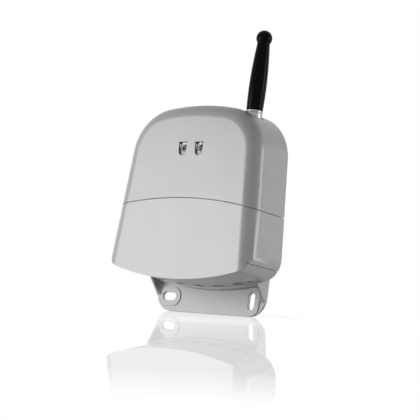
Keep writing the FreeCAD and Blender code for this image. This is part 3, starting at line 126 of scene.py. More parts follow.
@labelled
class HousingSizes(bpy.types.PropertyGroup):
    depth: length("From the back to the front face", (BACK - COVER_LOW.y) / MM)
    height: length("From the lowest point to the top of the arc", (COVER_HIGH.z - FOOT) / MM)
    base_half_width: length("Half the width, with the sides drawn down to the lowest point", 76.4)
    side_taper: angle("How far each side leans in", 4.83)
    top_radius: length("Radius of the top arc", 211.9)
    top_corner_radius: length("Radius between the side and the top", 39.9)
    bottom_radius: length("Radius of the bottom arc", 247.7)
    bottom_corner_radius: length("Radius between the side and the bottom", 17.3)
    front_edge_radius: length("Radius of the front edge", 12.0)
    wall: length("Thickness of the covers", 2.5)
    fit_gap: length("Gap between pieces that fit into each other", 0.3)
    seam_gap: length("Width of the gap between the covers", 0.4)
    seam_crown: length("Height of the seam in the middle", 66.7)
    seam_radius: length("Radius of the arched seam", 348.0)
    lower_seam: length("Height at which the sides meet the rear base", 15.9)
    sharp_middle: length("Half the width over which the lower seam's edge stays sharp", 60.0)
    tongue_drop: length("How far the tongue hangs below the seam", 4.0)
    tongue_root: length("How far the tongue reaches above the seam", 5.0)
    tongue_thick: length("Thickness of the tongue", 1.5)
    tongue_rear: length("How far ahead of the back the tongue starts", 12.3)
    soft_edge: length("Width of the small round along each moulded edge", 0.35)
    post_radius: length("Radius of the posts for the upper cover's screws", 4.0)
    post_rear: length("How far ahead of the back the posts start", 6.3)
    post_low: length("Height of the two lower posts", 80.0)
    post_inset: length("From the housing's side to the lower posts", 12.1)
    post_high: length("Height of the two upper posts", 130.0)
    post_across: length("From the middle to the upper posts", 24.0)
    thread_radius: length("Radius of the holes in the posts", 1.75)
    thread_depth: length("Depth of the holes in the posts", 11.0)
    well_radius: length("Radius of the recess round the antenna's foot", 8.3)
    well_wall: length("Thickness of the recess's wall", 2.0)
    well_floor: length("Height of the recess's floor", 130.9)
    well_floor_thick: length("Thickness of the recess's floor", 2.5)
    socket_hole: length("Radius of the hole for the antenna's socket", 4.75)
    run_out: length("How far a cutting shape reaches past what it cuts", 10.0)
    chord: length("How far a straight facet may lie from its arc", 0.02)


@labelled
class LugSizes(bpy.types.PropertyGroup):
    height: length("Height of the lugs' underside", 16.9)
    thick: length("Thickness of the lugs", 3.0)
    rear: length("How far ahead of the back the lugs start", 3.4)
    front: length("How far ahead of the back the lugs' inner part ends", 14.0)
    wall_front: length("How far ahead of the back the lugs leave the wall", 24.0)
    wall_inset: length("How far the lugs' outer end lies inside the half width", 5.1)
    slot_inset: length("From the housing's side to the slot", 23.0)
    slot_end: length("How far ahead of the back the slot ends", 7.8)
    slot_radius: length("Radius of the slot's end", 2.1)
    inner_margin: length("From the slot to the lug's inner end", 5.5)
    outer_margin: length("From the slot to the start of the lug's slant", 4.4)


@labelled
class WindowSizes(bpy.types.PropertyGroup):
    across: length("Distance of each window from the middle", 8.5)
    low: length("Height of the window's lowest point", 101.9)
    tall: length("From the flat top to the round foot", 11.0)
    top_half_width: length("Half the width of the flat top", 4.3)
    foot_radius: length("Radius of the round foot", 3.5)
    side_lean: angle("How far the sides lean in", 6.0)
    soft_edge: length("Round of the window's edge in the cover", 0.25)
    clearance: length("Gap between the lens and its window", 0.3)
    sink: length("How far the lens lies below the cover's face", 0.3)
    flange_margin: length("How far the lens's flange reaches past the window", 1.2)
    flange_thick: length("Thickness of the lens's flange", 1.2)
    lens_edge: length("Round of the lens's front edge", 0.9)
    # The dark rim on the lens is painted shade, standing in for the shadow in the gap round the
    # lens.
    painted_shade_rim: length("Width of the dark rim along the lens's outline", 0.4)
    # The spot on the lens is painted shade, standing in for the shaded lamp seen behind it.
    spot_radius: length("Radius of the smoked spot at the lens's rear", 2.6)
    spot_rise: length("How far the spot lies above the window's middle", 1.0)
    spot_depth: length("How far the spot reaches into the lens", 0.3)
    fade: length("Width over which the rim and the spot fade out", 0.4)
    reflector_radius: length("Outer radius of the reflector", 5.6)
    mouth_radius: length("Radius of the reflector's mouth", 4.6)
    reflector_bead: length("Chamfer of the reflector's outer edges", 0.3)
    reflector_collar: length("Length of the reflector's collar round the lamp", 1.0)
    lamp_gap: length("Gap between the collar and the lamp", 0.05)
    lamp_radius: length("Radius of the lamp", 2.5)
    lamp_flange: length("Radius of the lamp's foot", 2.9)
    lamp_flange_thick: length("Thickness of the lamp's foot", 1.0)
    lamp_edge: length("Chamfer of the lamp's foot", 0.2)


@labelled
class AntennaSizes(bpy.types.PropertyGroup):
    foot_radius: length("Radius at the foot", 6.8)
    foot_edge: length("Round of the foot's edge", 0.8)
    wide_radius: length("Radius at the widest place", 7.25)
    wide_rise: length("Height of the widest place over the foot", 18.8)
    flank_radius: length("Radius of the long curved flank", 400.0)
    neck_radius: length("Radius of the neck", 5.3)
    neck_rise: length("Height of the neck over the foot", 54.8)
    neck_fillet: length("Radius between the neck and the ball", 2.2)
    ball_radius: length("Radius of the ball end", 6.6)
    ring_rise: length("Height of the moulded ring over the foot", 2.6)
    ring_depth: length("Depth of the moulded ring", 0.16)
    collar_radius: length("Radius of the hollow round the core's collar", 5.45)
    collar_rise: length("Depth of the hollow round the core's collar", 3.5)
    wire_radius: length("Radius of the hollow round the inner wire", 1.25)
    wire_rise: length("Depth of the hollow round the inner wire", 37.5)
    sleeve_bore: length("Inner radius of the coupling sleeve", 5.8)
    sleeve_lip: length("Inner radius of the sleeve's lip", 5.0)
    sleeve_lip_thick: length("Thickness of the sleeve's lip", 1.0)
    sleeve_edge: length("Chamfer of the sleeve's edges", 0.4)
    sleeve_round: length("Round of the edges in the sleeve's lower half", 0.08)
    groove_rise: length("Height of the sleeve's groove over its foot", 7.2)
    groove_width: length("Width of the sleeve's groove", 0.7)
    groove_depth: length("Depth of the sleeve's groove", 0.25)


@labelled
class FinishColours(bpy.types.PropertyGroup):
    upper_plastic: tint("Plastic of the upper cover", 0.44, 0.443, 0.45)
    lower_plastic: tint("Plastic of the lower cover and the base", 0.465, 0.468, 0.475)
    cast_metal: tint("Metal of the bracket", 0.41, 0.41, 0.415)
    bright_metal: tint("Plated brass of the coupling and socket", 0.31, 0.31, 0.32)
    steel: tint("Steel of the screws", 0.52, 0.53, 0.55)
    brass: tint("Brass of the contacts", 0.78, 0.57, 0.25)
    antenna_rubber: tint("Rubber of the antenna", 0.0006, 0.0006, 0.0008)
    seal_rubber: tint("Rubber of the seal and grommets", 0.30, 0.30, 0.31)
    amber: tint("Resin of the status lamps", 0.05, 0.026, 0.016)
    laminate: tint("Solder mask of the circuit boards", 0.02, 0.16, 0.07)
    terminal: tint("Plastic of the terminal blocks", 0.05, 0.25, 0.12)
    dark_plastic: tint("Plastic of the relays, the chip and the lead", 0.02, 0.021, 0.024)
    tape: tint("Tape round the transformer's coil", 0.75, 0.48, 0.06)
    pale_plastic: tint("Plastic of the insulator and spacers", 0.78, 0.77, 0.73)
    red_plastic: tint("Plastic of the learn buttons", 0.45, 0.03, 0.02)
    sleeve_film: tint("Film round the capacitor", 0.012, 0.03, 0.09)


@labelled
class StageSettings(bpy.types.PropertyGroup):
    distance: length("From the camera to the point that it looks at", 1356.30)
    azimuth: angle("The camera's turn to the right of the front", 39.3212)
    elevation: angle("The camera's height over the horizon", -7.9407)
    roll: angle("The camera's turn about its own axis", 7.9081)
    aim_across: length("X of the point in the middle of the picture", 5.917)
    aim_deep: length("Y of the point in the middle of the picture", -25.531)
    aim_high: length("Z of the point in the middle of the picture", 70.388)
    lens: amount("Focal length in millimetres", 141.766)
    floor_tilt: angle("How far the floor leans down in front of the foot", 8.0)
    floor_size: length("Width of the floor", 1900.0)
    fade_start: length("How far in front of the foot the reflection starts to fade", 700.0)
    fade_end: length("How far in front of the foot the reflection ends", 850.0)
    mirror: share("How strongly the floor reflects at the foot", 0.38)
    glow: amount("How bright the lit floor at the foot looks to the camera", 2.0)
    cloth: share("How much of the floor is lit cloth, which keeps the shadow", 0.6)
    cloth_reach: length("How far from the foot the floor keeps shadows", 220.0)
    ambient: share("Light from all around", 0.04)
    lit_height: length("Height of the point that the lights face", 70.0)
    light_reach: length("From that point to each light", 900.0)
    key: amount("Power of the large light at the left in front", 4.25)
    low_key: amount("Power of the low light at the left in front", 1.4)
    strip: amount("Power of the tall narrow light at the right", 3.4)
    rear: amount("Power of the light at the right and behind", 0.5)


def settings(group):
    """The scene's settings of one group."""
    return getattr(bpy.context.scene, f"receiver_{group}")


# Drawing and modelling with the edit-mode tools


def ahead(distance):
    """The Y of a point this far ahead of the housing's back."""
    return BACK - distance


def up(height):
    """The Z of a point this high above the housing's lowest point."""
    return FOOT + height


def bearing(azimuth, elevation):
    """The direction that points this far to the right of the front and this far up."""
    level = math.cos(elevation)
    return Vector((math.sin(azimuth) * level, -math.cos(azimuth) * level, math.sin(elevation)))


def facets(radius, turn):
    """How many straight facets an arc gets."""
    step = 2 * math.acos(1 - min(settings("housing").chord / radius, 0.5))
    return max(2, math.ceil(abs(turn) / step))


def only(piece):
    """Makes one piece the active one and the only one selected."""
    bpy.ops.object.select_all(action="DESELECT")
    piece.select_set(True)
    bpy.context.view_layer.objects.active = piece


def edit(piece):
    """Opens a piece in edit mode with all of it selected."""
    only(piece)
    bpy.ops.object.mode_set(mode="EDIT")
    bpy.ops.mesh.select_mode(type="VERT")
    bpy.ops.mesh.select_all(action="SELECT")


def leave():
    """Closes edit mode."""
    bpy.ops.object.mode_set(mode="OBJECT")


def leave_closed():
    """Turns the faces of a closed form outward and closes edit mode."""
    bpy.ops.mesh.select_all(action="SELECT")
    bpy.ops.mesh.normals_make_consistent(inside=False)
    leave()


def added(name, primitive, **values):
    """A new primitive with its place, turn and scale applied."""
    bpy.ops.object.select_all(action="DESELECT")
    primitive(**values)
    piece = bpy.context.object
    piece.name = name
    bpy.ops.object.transform_apply(location=True, rotation=True, scale=True)
    return piece


def drawn(name, plane, normal, start, moves):
    """An open outline of edges, drawn from a first point through lines and arcs, in edit mode.

    plane turns (across, high) into a place. A move of two numbers is where a line ends. A move of
    three is an arc: its centre, across and high, and its turn, anticlockwise when seen against
    the normal."""
    piece = added(name, bpy.ops.mesh.primitive_plane_add, size=MM, location=plane(*start))
    edit(piece)
    bpy.ops.mesh.merge(type="CENTER")
    at = Vector(start)
    for move in moves:
        if len(move) == 2:
            offset = Vector(plane(*move)) - Vector(plane(*at))
            bpy.ops.mesh.extrude_vertices_move(TRANSFORM_OT_translate={"value": offset})
            at = Vector(move)
            continue
        centre, turn = Vector(move[:2]), move[2]
        steps = facets((at - centre).length, turn)
        bpy.ops.mesh.spin(steps=steps, angle=-turn, center=plane(*centre), axis=normal)
        at = centre + Matrix.Rotation(turn, 2) @ (at - centre)
    bpy.ops.mesh.select_all(action="SELECT")
    bpy.ops.mesh.remove_doubles(threshold=WELD)
    return piece


def run_along(offset):
    """Fills the outline that is being drawn, runs it along an offset and closes edit mode."""
    bpy.ops.mesh.edge_face_add()
    bpy.ops.mesh.extrude_region_move(TRANSFORM_OT_translate={"value": offset})
    leave_closed()


def prism(name, start, moves, rear, front):
    """An outline in the XZ plane, run from one place ahead of the housing's back to another."""

    def plane(across, high):
        return Vector((across, ahead(rear), up(high)))

    piece = drawn(name, plane, FORWARD, start, moves)
    run_along((0, rear - front, 0))
    return piece


def turned(name, foot, start, moves, steps=96):
    """A profile of (radius, height over the foot) turned about an upright axis."""
    x, y, base = foot

    def plane(across, high):
        return Vector((x + across, y, base + high))

    piece = drawn(name, plane, FORWARD, start, moves)
    bpy.ops.mesh.spin(steps=steps, angle=math.tau, center=foot, axis=UPWARD)
    bpy.ops.mesh.select_all(action="SELECT")
    bpy.ops.mesh.remove_doubles(threshold=WELD)
    leave_closed()
    return piece


def peg(name, place, radius, reach, direction, vertices=48):
    """A cylinder from a place upward or forward, to cut with or to join on."""
    return added(
        name,
        bpy.ops.mesh.primitive_cylinder_add,
        vertices=vertices,
        radius=radius,
        depth=reach,
        location=Vector(place) + Vector(direction) * reach / 2,
        rotation=(0, 0, 0) if direction == UPWARD else (math.pi / 2, 0, 0),
    )


def slab(name, low, high):
    """A box between two corners, to cut with or to join on."""
    low, high = Vector(low), Vector(high)
    cube_add = bpy.ops.mesh.primitive_cube_add
    return added(name, cube_add, size=1, location=(low + high) / 2, scale=high - low)


def copied(piece, name, across):
    """A copy of a piece with a mesh of its own, moved along X."""
    only(piece)
    bpy.ops.object.duplicate()
    copy = bpy.context.object
    copy.name = name
    bpy.ops.transform.translate(value=(across, 0, 0))
    bpy.ops.object.transform_apply(location=True, rotation=True, scale=True)
    return copy


def merged(piece, operation, *tools):
    """Joins, cuts or intersects a piece with tools, which are used up."""
    for tool in tools:
        modifier = piece.modifiers.new("Shape", "BOOLEAN")
        modifier.operation = operation
        modifier.solver = "EXACT"
        modifier.object = tool
        bpy.context.view_layer.objects.active = piece
        bpy.ops.object.modifier_apply(modifier=modifier.name)
        bpy.data.objects.remove(tool)
    return piece


def bevelled(piece, test, width, segments, clamp=True):
    """Rounds the edges of a piece that pass a test."""
    edit(piece)
    bpy.ops.mesh.select_all(action="DESELECT")
    bpy.ops.mesh.select_mode(type="EDGE")
    shape = bmesh.from_edit_mesh(piece.data)
    for edge in shape.edges:
        edge.select = test(edge)
    shape.select_flush_mode()
    bmesh.update_edit_mesh(piece.data)
    bpy.ops.mesh.bevel(
        offset=width, segments=segments, profile=0.5, affect="EDGES", clamp_overlap=clamp
    )
    leave()
    return piece


def soften(piece, test, width, segments=3):
    """Rounds the sharp edges of a piece whose two ends pass a test of their place."""

    def chosen(edge):
        sharp = edge.is_manifold and edge.calc_face_angle(0) > SHARP
        return sharp and all(test(vertex.co) for vertex in edge.verts)

    return bevelled(piece, chosen, width, segments)


def finished(piece, body, slot, node, finish=None):
    """Smooths a piece, gives it its body and material, and lets it stand for its node.

    finish is the material's key where it isn't the slot."""
    only(piece)
    bpy.ops.object.shade_smooth_by_angle(angle=SHARP)
    modifier = piece.modifiers.new("Normals", "WEIGHTED_NORMAL")
    modifier.keep_sharp = True
    bpy.ops.object.modifier_apply(modifier=modifier.name)
    piece.data.materials.clear()
    piece.data.materials.append(FINISHES[finish or slot])
    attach(piece, body)
    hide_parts(node)


def refined(node, body, slot, width=0.2 * MM):
    """A copy of a node with joined facets and softened edges, which stands for the node."""
    piece = bpy.data.objects.new(f"finished_{node}", frame["nodes"][node].data.copy())
    bpy.context.scene.collection.objects.link(piece)
    edit(piece)
    bpy.ops.mesh.customdata_custom_splitnormals_clear()
    bpy.ops.mesh.remove_doubles(threshold=2 * WELD)
    bpy.ops.mesh.dissolve_limited(angle_limit=FLAT)
    leave()
    modifier = piece.modifiers.new("Edges", "BEVEL")
    modifier.limit_method = "ANGLE"
    modifier.angle_limit = CREASE
    modifier.width = width
    modifier.segments = 2
    modifier.use_clamp_overlap = True
    bpy.ops.object.modifier_apply(modifier=modifier.name)
    finished(piece, body, slot, node)


# Shader maths and materials


class Signal:
    """A number in a material; operators on it add the material's maths nodes."""

    def __init__(self, tree, socket):
        self.tree = tree
        self.socket = socket

    def maths(self, operation, *values):
        maker = self.tree.nodes.new("ShaderNodeMath")
        maker.operation = operation
        for socket, value in zip(maker.inputs, values):
            if isinstance(value, Signal):
                self.tree.links.new(value.socket, socket)
            else:
                socket.default_value = value
        return Signal(self.tree, maker.outputs[0])

    def __add__(self, other):
        return self.maths("ADD", self, other)

    def __radd__(self, other):
        return self.maths("ADD", other, self)

    def __sub__(self, other):
        return self.maths("SUBTRACT", self, other)

    def __rsub__(self, other):
        return self.maths("SUBTRACT", other, self)

    def __mul__(self, other):
        return self.maths("MULTIPLY", self, other)

    def __rmul__(self, other):
        return self.maths("MULTIPLY", other, self)

    def __truediv__(self, other):
        return self.maths("DIVIDE", self, other)

    def __pow__(self, other):
        return self.maths("POWER", self, other)

    def over(self, low, high):
        """How far the number lies from low to high, kept between 0 and 1."""
        shifted = (self - low) / (high - low)
        shifted.socket.node.use_clamp = True
        return shifted

    def bands(self):
        """A wave between 0 and 1 that repeats with each whole number."""
        return self.maths("SINE", self * math.tau) * 0.5 + 0.5

    def most(self, other):
        return self.maths("MAXIMUM", self, other)

    def least(self, other):
        return self.maths("MINIMUM", self, other)

    def size(self):
        return self.maths("ABSOLUTE", self)


class Finish:
    """A material whose nodes are made one by one."""

    def __init__(self, name, owner=None):
        self.material = owner or bpy.data.materials.new(name)
        self.material.use_nodes = True
        self.tree = self.material.node_tree
        self.tree.nodes.clear()

    def node(self, kind, options=None, output=0, **inputs):
        """Adds a node with its options and its sockets' values or links, and gives one output.

        A socket is named by its label, or by input and its number."""
        maker = self.tree.nodes.new(kind)
        for name, option in (options or {}).items():
            setattr(maker, name, option)
        for name, value in inputs.items():
            label = name.replace("_", " ")
            socket = maker.inputs[int(label[5:]) if label.startswith("input") else label]
            if isinstance(value, Signal):
                self.tree.links.new(value.socket, socket)
            elif socket.type == "RGBA" and len(value) == 3:
                socket.default_value = (*value, 1)
            else:
                socket.default_value = value
        return Signal(self.tree, maker.outputs[output]) if maker.outputs else None

    def noise(self, size, detail=2.0, stretch=(1, 1, 1)):
        """A cloudy pattern between 0 and 1 whose grains have a size in metres."""
        coordinates = self.node("ShaderNodeTexCoord", output="Object")
        scale = [1 / (size * factor) for factor in stretch]
        vector = self.node("ShaderNodeMapping", Vector=coordinates, Scale=scale)
        return self.node("ShaderNodeTexNoise", Vector=vector, Scale=1.0, Detail=detail)

    def along(self, axis):
        """The X, Y or Z of each place, in metres."""
        coordinates = self.node("ShaderNodeTexCoord", output="Object")
        return self.node("ShaderNodeSeparateXYZ", output=axis, Vector=coordinates)

    def looked_at(self):
        """Whether the camera looks, and whether it, a reflection or a clear piece looks."""
        camera, glossy, clear = (
            self.node("ShaderNodeLightPath", output=name)
            for name in ("Is Camera Ray", "Is Glossy Ray", "Is Transmission Ray")
        )
        return camera, camera.most(glossy).most(clear)

    def blend(self, factor, first, second):
        """A colour between two."""
        return self.node(
            "ShaderNodeMix",
            {"data_type": "RGBA"},
            output=2,
            input0=factor,
            input6=first,
            input7=second,
        )

    def shaded(self, factor, colour, dark, light):
        """A colour that goes from a dark to a light shade of itself."""
        return self.blend(factor, shade(colour, dark), shade(colour, light))

    def mixed(self, factor, first, second):
        """A shader between two."""
        return self.node("ShaderNodeMixShader", input0=factor, input1=first, input2=second)

    def bump(self, height, depth):
        """A normal bent by a height between 0 and 1 that stands for a depth in metres."""
        return self.node("ShaderNodeBump", Height=height, Distance=depth)

    def surface(self, **inputs):
        """The main shader, wired to the material's output."""
        shader = self.node("ShaderNodeBsdfPrincipled", **inputs)
        self.node("ShaderNodeOutputMaterial", Surface=shader)
        return self.material


def shade(colour, factor):
    """A colour made darker or lighter by a factor."""
    return tuple(min(1.0, part * factor) for part in colour)


def moulded(name, colour, roughness, grain=0.35 * MM, depth=0.006 * MM, specular=0.35):
    """Moulded plastic: nearly even colour, a fine spark-eroded grain and soft cloudy gloss."""
    finish = Finish(name)
    cloud = finish.noise(22 * MM, 3.0)
    speck = finish.noise(grain)
    return finish.surface(
        Base_Color=finish.shaded(cloud.over(0.3, 0.7) * 0.6 + speck * 0.4, colour, 0.965, 1.03),
        Roughness=roughness + (cloud - 0.5) * 0.10 + (speck - 0.5) * 0.08,
        Specular_IOR_Level=specular,
        Normal=finish.bump(speck, depth),
    )


def cast_metal():
    """Bright cast metal, tumbled smooth, with faint upright streaks and small pits."""
    finish = Finish("bright_cast_metal")
    streak = finish.noise(2.2 * MM, 3.0, stretch=(1, 1, 14))
    cloud = finish.noise(16 * MM, 3.0)
    pit = finish.noise(0.5 * MM)
    wear = cloud.over(0.35, 0.7) * 0.55 + streak * 0.45
    return finish.surface(
        Base_Color=finish.shaded(wear, settings("colours").cast_metal, 0.86, 1.08),
        Metallic=0.25,
        Roughness=0.42 + cloud * 0.12 + (streak - 0.5) * 0.12,
        Specular_IOR_Level=0.35,
        Normal=finish.bump(streak * 0.6 + pit * 0.4, 0.02 * MM),
    )


def turned_metal(name, colour, roughness):
    """Turned and plated metal with fine rings round an upright axis."""
    finish = Finish(name)
    ring = finish.noise(0.12 * MM, 1.0, stretch=(60, 60, 1))
    cloud = finish.noise(5 * MM)
    return finish.surface(
        Base_Color=finish.shaded(cloud, colour, 0.93, 1.05),
        Metallic=1.0,
        Roughness=roughness + cloud * 0.08,
        Normal=finish.bump(ring, 0.004 * MM),
    )


def antenna_rubber():
    """Smooth black rubber with a soft gloss and faint dust."""
    finish = Finish("black_antenna_rubber")
    cloud = finish.noise(9 * MM, 4.0)
    speck = finish.noise(0.25 * MM)
    return finish.surface(
        Base_Color=finish.shaded(cloud, settings("colours").antenna_rubber, 1.0, 1.7),
        Roughness=0.14 + cloud * 0.08 + (speck - 0.5) * 0.05,
        Specular_IOR_Level=0.05,
        Normal=finish.bump(speck, 0.003 * MM),
    )


def matt_rubber():
    """Dull rubber of the seal and the grommets."""
    finish = Finish("matt_seal_rubber")
    speck = finish.noise(0.3 * MM, 3.0)
    return finish.surface(
        Base_Color=finish.shaded(speck, settings("colours").seal_rubber, 0.8, 1.5),
        Roughness=0.62 + speck * 0.15,
        Normal=finish.bump(speck, 0.01 * MM),
    )


def fuse_glass():
    """Clear glass of the fuse's tube."""
    finish = Finish("fuse_glass_tube")
    speck = finish.noise(1.5 * MM)
    return finish.surface(
        Base_Color=(0.97, 0.975, 0.98),
        Roughness=speck * 0.03,
        IOR=1.49,
        Transmission_Weight=1.0,
        Normal=finish.bump(speck, 0.002 * MM),
    )


def window_lens():
    """Clear plastic with painted shade: a dark rim for the shadow in the gap round the lens, and a
    dark spot at its rear, where the lamp sits close, for the shaded lamp behind it.
    """
    sizes = settings("windows")
    finish = Finish("clear_window_lens_painted_shade")
    speck = finish.noise(1.5 * MM)
    across = (finish.along(0).size() - sizes.across).size()
    high = finish.along(2) - up(sizes.low)
    above = (high - sizes.foot_radius).most(0)
    below = (sizes.foot_radius - high).most(0)
    lean = above * math.tan(sizes.side_lean)
    side = lean + sizes.foot_radius - (across * across + below * below) ** 0.5
    inside = side.least(sizes.tall - high)
    # painted shade: the lens's outline is darkened, in place of the shadow in the gap round it
    rim = 1 - inside.over(sizes.painted_shade_rim, sizes.painted_shade_rim + sizes.fade)
    rise = high - sizes.tall / 2 - sizes.spot_rise
    from_middle = (across * across + rise * rise) ** 0.5
    rear_end = LENS_REAR - sizes.spot_depth
    rear = finish.along(1).over(rear_end - sizes.fade, rear_end)
    # painted shade: a dark amber spot at the lens's rear, in place of the shaded lamp seen through
    # it
    spot = rear * (1 - from_middle.over(sizes.spot_radius, sizes.spot_radius + sizes.fade))
    painted = finish.blend(spot, WHITE, shade(settings("colours").amber, 0.12))
    return finish.surface(
        Base_Color=finish.blend(rim, painted, (0.05, 0.05, 0.05)),
        Roughness=0.02 + speck * 0.03,
        IOR=1.2,
        Transmission_Weight=1.0,
        Normal=finish.bump(speck, 0.002 * MM),
    )


def amber_resin():
    """Dark amber resin of the lamps, dim as when they are off."""
    finish = Finish("dark_amber_resin")
    cloud = finish.noise(1.2 * MM)
    return finish.surface(
        Base_Color=finish.shaded(cloud, settings("colours").amber, 0.6, 1.3),
        Roughness=0.2 + cloud * 0.08,
        Specular_IOR_Level=0.3,
    )


def mirror_metal():
    """Bright metallised plastic of the reflectors, with a faint painted glow in place of the light
    that the lens takes.
    """
    finish = Finish("metallised_reflector_painted_glow")
    cloud = finish.noise(2.0 * MM)
    return finish.surface(
        Base_Color=finish.blend(cloud, (0.84, 0.84, 0.85), (0.94, 0.94, 0.95)),
        Metallic=0.3,
        Roughness=0.3 + cloud * 0.08,
        # painted light: a faint white glow, though the reflector is no lamp
        Emission_Color=WHITE,
        Emission_Strength=0.2,
    )


def circuit_laminate():
    """Green laminate with copper tracks under its mask."""
    pin_pitch = 2.54 * MM
    finish = Finish("green_circuit_laminate")
    weave = finish.noise(0.6 * MM)
    across = (finish.along(0) / pin_pitch).bands().over(0.72, 0.8)
    upright = (finish.along(2) / (3 * pin_pitch)).bands().over(0.9, 0.94)
    patch = finish.noise(11 * MM, 1.0).over(0.5, 0.53)
    track = (across * patch).most(upright * (1 - patch))
    cover = track * 0.8 + weave * 0.2
    return finish.surface(
        Base_Color=finish.shaded(cover, settings("colours").laminate, 0.75, 1.9),
        Roughness=0.34 + weave * 0.12,
        Normal=finish.bump(track + weave * 0.1, 0.02 * MM),
    )


def laminated_steel():
    """The transformer's stacked sheets, seen on edge."""
    sheet_thick = 0.5 * MM
    finish = Finish("stacked_core_sheets")
    sheet = (finish.along(1) / sheet_thick).bands()
    rust = finish.noise(3 * MM, 3.0)
    dark, light = (0.06, 0.065, 0.075), (0.26, 0.27, 0.29)
    return finish.surface(
        Base_Color=finish.blend(sheet * 0.7 + rust * 0.3, dark, light),
        Metallic=0.7,
        Roughness=0.4 + rust * 0.2,
        Normal=finish.bump(sheet, 0.08 * MM),
    )


def make_finishes():
    """Every material, by the material slot that it stands for, and the upper cover's own."""
    colours = settings("colours")
    dark = colours.dark_plastic
    return {
        "bracket_metal": cast_metal(),
        "upper_plastic": moulded("satin_upper_plastic", colours.upper_plastic, 0.3, specular=0.8),
        "housing_plastic": moulded(
            "satin_lower_plastic", colours.lower_plastic, 0.3, specular=0.8
        ),
        "seal_rubber": matt_rubber(),
        "antenna_rubber": antenna_rubber(),
        "plated_metal": turned_metal("bright_plated_metal", colours.bright_metal, 0.3),
        "screw_steel": turned_metal("zinc_plated_steel", colours.steel, 0.3),
        "board_laminate": circuit_laminate(),
        "terminal_plastic": moulded("terminal_plastic", colours.terminal, 0.45, 0.5 * MM),
        "relay_plastic": moulded("relay_plastic", dark, 0.35, 0.4 * MM),
        "core_steel": laminated_steel(),
        "coil_tape": moulded("coil_tape", colours.tape, 0.3, 0.8 * MM, 0.02 * MM),
        "clear_glass": fuse_glass(),
        "can_sleeve": moulded("capacitor_sleeve", colours.sleeve_film, 0.25, 0.6 * MM),
        "chip_plastic": moulded("chip_plastic", dark, 0.55, 0.15 * MM, 0.01 * MM),
        "lamp_amber": amber_resin(),
        "mirror_metal": mirror_metal(),
        "clear_lens": window_lens(),
        "insulator_plastic": moulded("pale_insulator", colours.pale_plastic, 0.4, 0.4 * MM),
        "lead_jacket": moulded("lead_jacket", dark, 0.4, 0.3 * MM),
        "contact_brass": turned_metal("contact_brass", colours.brass, 0.22),
        "button_plastic": moulded("button_plastic", colours.red_plastic, 0.35, 0.3 * MM),
    }


FINISHES = {}


# Housing forms


def corner_centre(arc_height, arc_radius, corner_radius, end):
    """The centre, (across, high), of the arc that blends a side line into the end's arc."""
    sizes = settings("housing")
    slope = math.tan(sizes.side_taper)
    reach = sizes.base_half_width - corner_radius / math.cos(sizes.side_taper)
    middle = reach * slope + arc_height
    rest = reach**2 + arc_height**2 - (arc_radius - corner_radius) ** 2
    height = (middle + end * math.sqrt(middle**2 - (1 + slope**2) * rest)) / (1 + slope**2)
    return Vector((reach - slope * height, height))


def housing_end(name, inset, rear, front, end):
    """The housing's outline with its top (end 1) or bottom (end -1) arcs, run from rear to front.

    Its sides run on past the other end. inset is how far the form lies inside the outer one."""
    sizes = settings("housing")
    lean = sizes.side_taper
    if end > 0:
        radius, corner_radius = sizes.top_radius, sizes.top_corner_radius
        arc_height = sizes.height - radius
        start_height = -sizes.run_out
    else:
        radius, corner_radius = sizes.bottom_radius, sizes.bottom_corner_radius
        arc_height = radius
        start_height = sizes.height + sizes.run_out
    start_across = side_at(start_height) - inset / math.cos(lean)
    centre = corner_centre(arc_height, radius, corner_radius, end)
    blend = math.atan2(centre.y - arc_height, centre.x)
    side_end = centre + Vector((math.cos(lean), math.sin(lean))) * (corner_radius - inset)
    moves = [
        tuple(side_end),
        (*centre, blend - lean),
        (0, arc_height, end * math.pi - 2 * blend),
        (-centre.x, centre.y, blend - lean),
        (-start_across, start_height),
    ]
    return prism(name, (start_across, start_height), moves, rear, front)


def housing_top(name, inset, rear, front):
    """A housing form with no underside, its front edge rounded along the sides and the top."""
    sizes = settings("housing")
    floor = up(-sizes.run_out / 2)
    radius = sizes.front_edge_radius - inset

    def on_front_edge(edge):
        places = [vertex.co for vertex in edge.verts]
        at_front = all(abs(place.y - ahead(front)) < NEAR for place in places)
        return at_front and any(place.z > floor for place in places)

    form = housing_end(name, inset, rear, front, 1)
    return bevelled(form, on_front_edge, radius, facets(radius, math.pi / 2), clamp=False)


def housing_form(name, inset, rear, front):
    """A whole housing form: round front edge, top arcs and bottom arcs."""
    low = housing_end(f"{name}_low", inset, rear, front, -1)
    return merged(housing_top(name, inset, rear, front), "INTERSECT", low)


def seam_side(name, low, high):
    """The space between two arcs that run with the seam, low and high above its line."""
    sizes = settings("housing")
    reach = sizes.base_half_width + sizes.run_out
    middle = sizes.seam_crown - sizes.seam_radius

    def end(offset):
        return middle + math.sqrt((sizes.seam_radius + offset) ** 2 - reach**2)

    def half(offset):
        return math.asin(reach / (sizes.seam_radius + offset))

    moves = [
        (0, middle, -2 * half(low)),
        (reach, end(high)),
        (0, middle, 2 * half(high)),
        (-reach, end(low)),
    ]
    return prism(name, (-reach, end(low)), moves, -sizes.run_out, sizes.depth + sizes.run_out)


def on_seam(side):
    """A test for the places on a cover's edge above (1) or below (-1) the seam."""
    sizes = settings("housing")
    middle = Vector((0, up(sizes.seam_crown - sizes.seam_radius)))
    radius = sizes.seam_radius + side * sizes.seam_gap / 2
    return lambda place: abs((place.xz - middle).length - radius) < NEAR


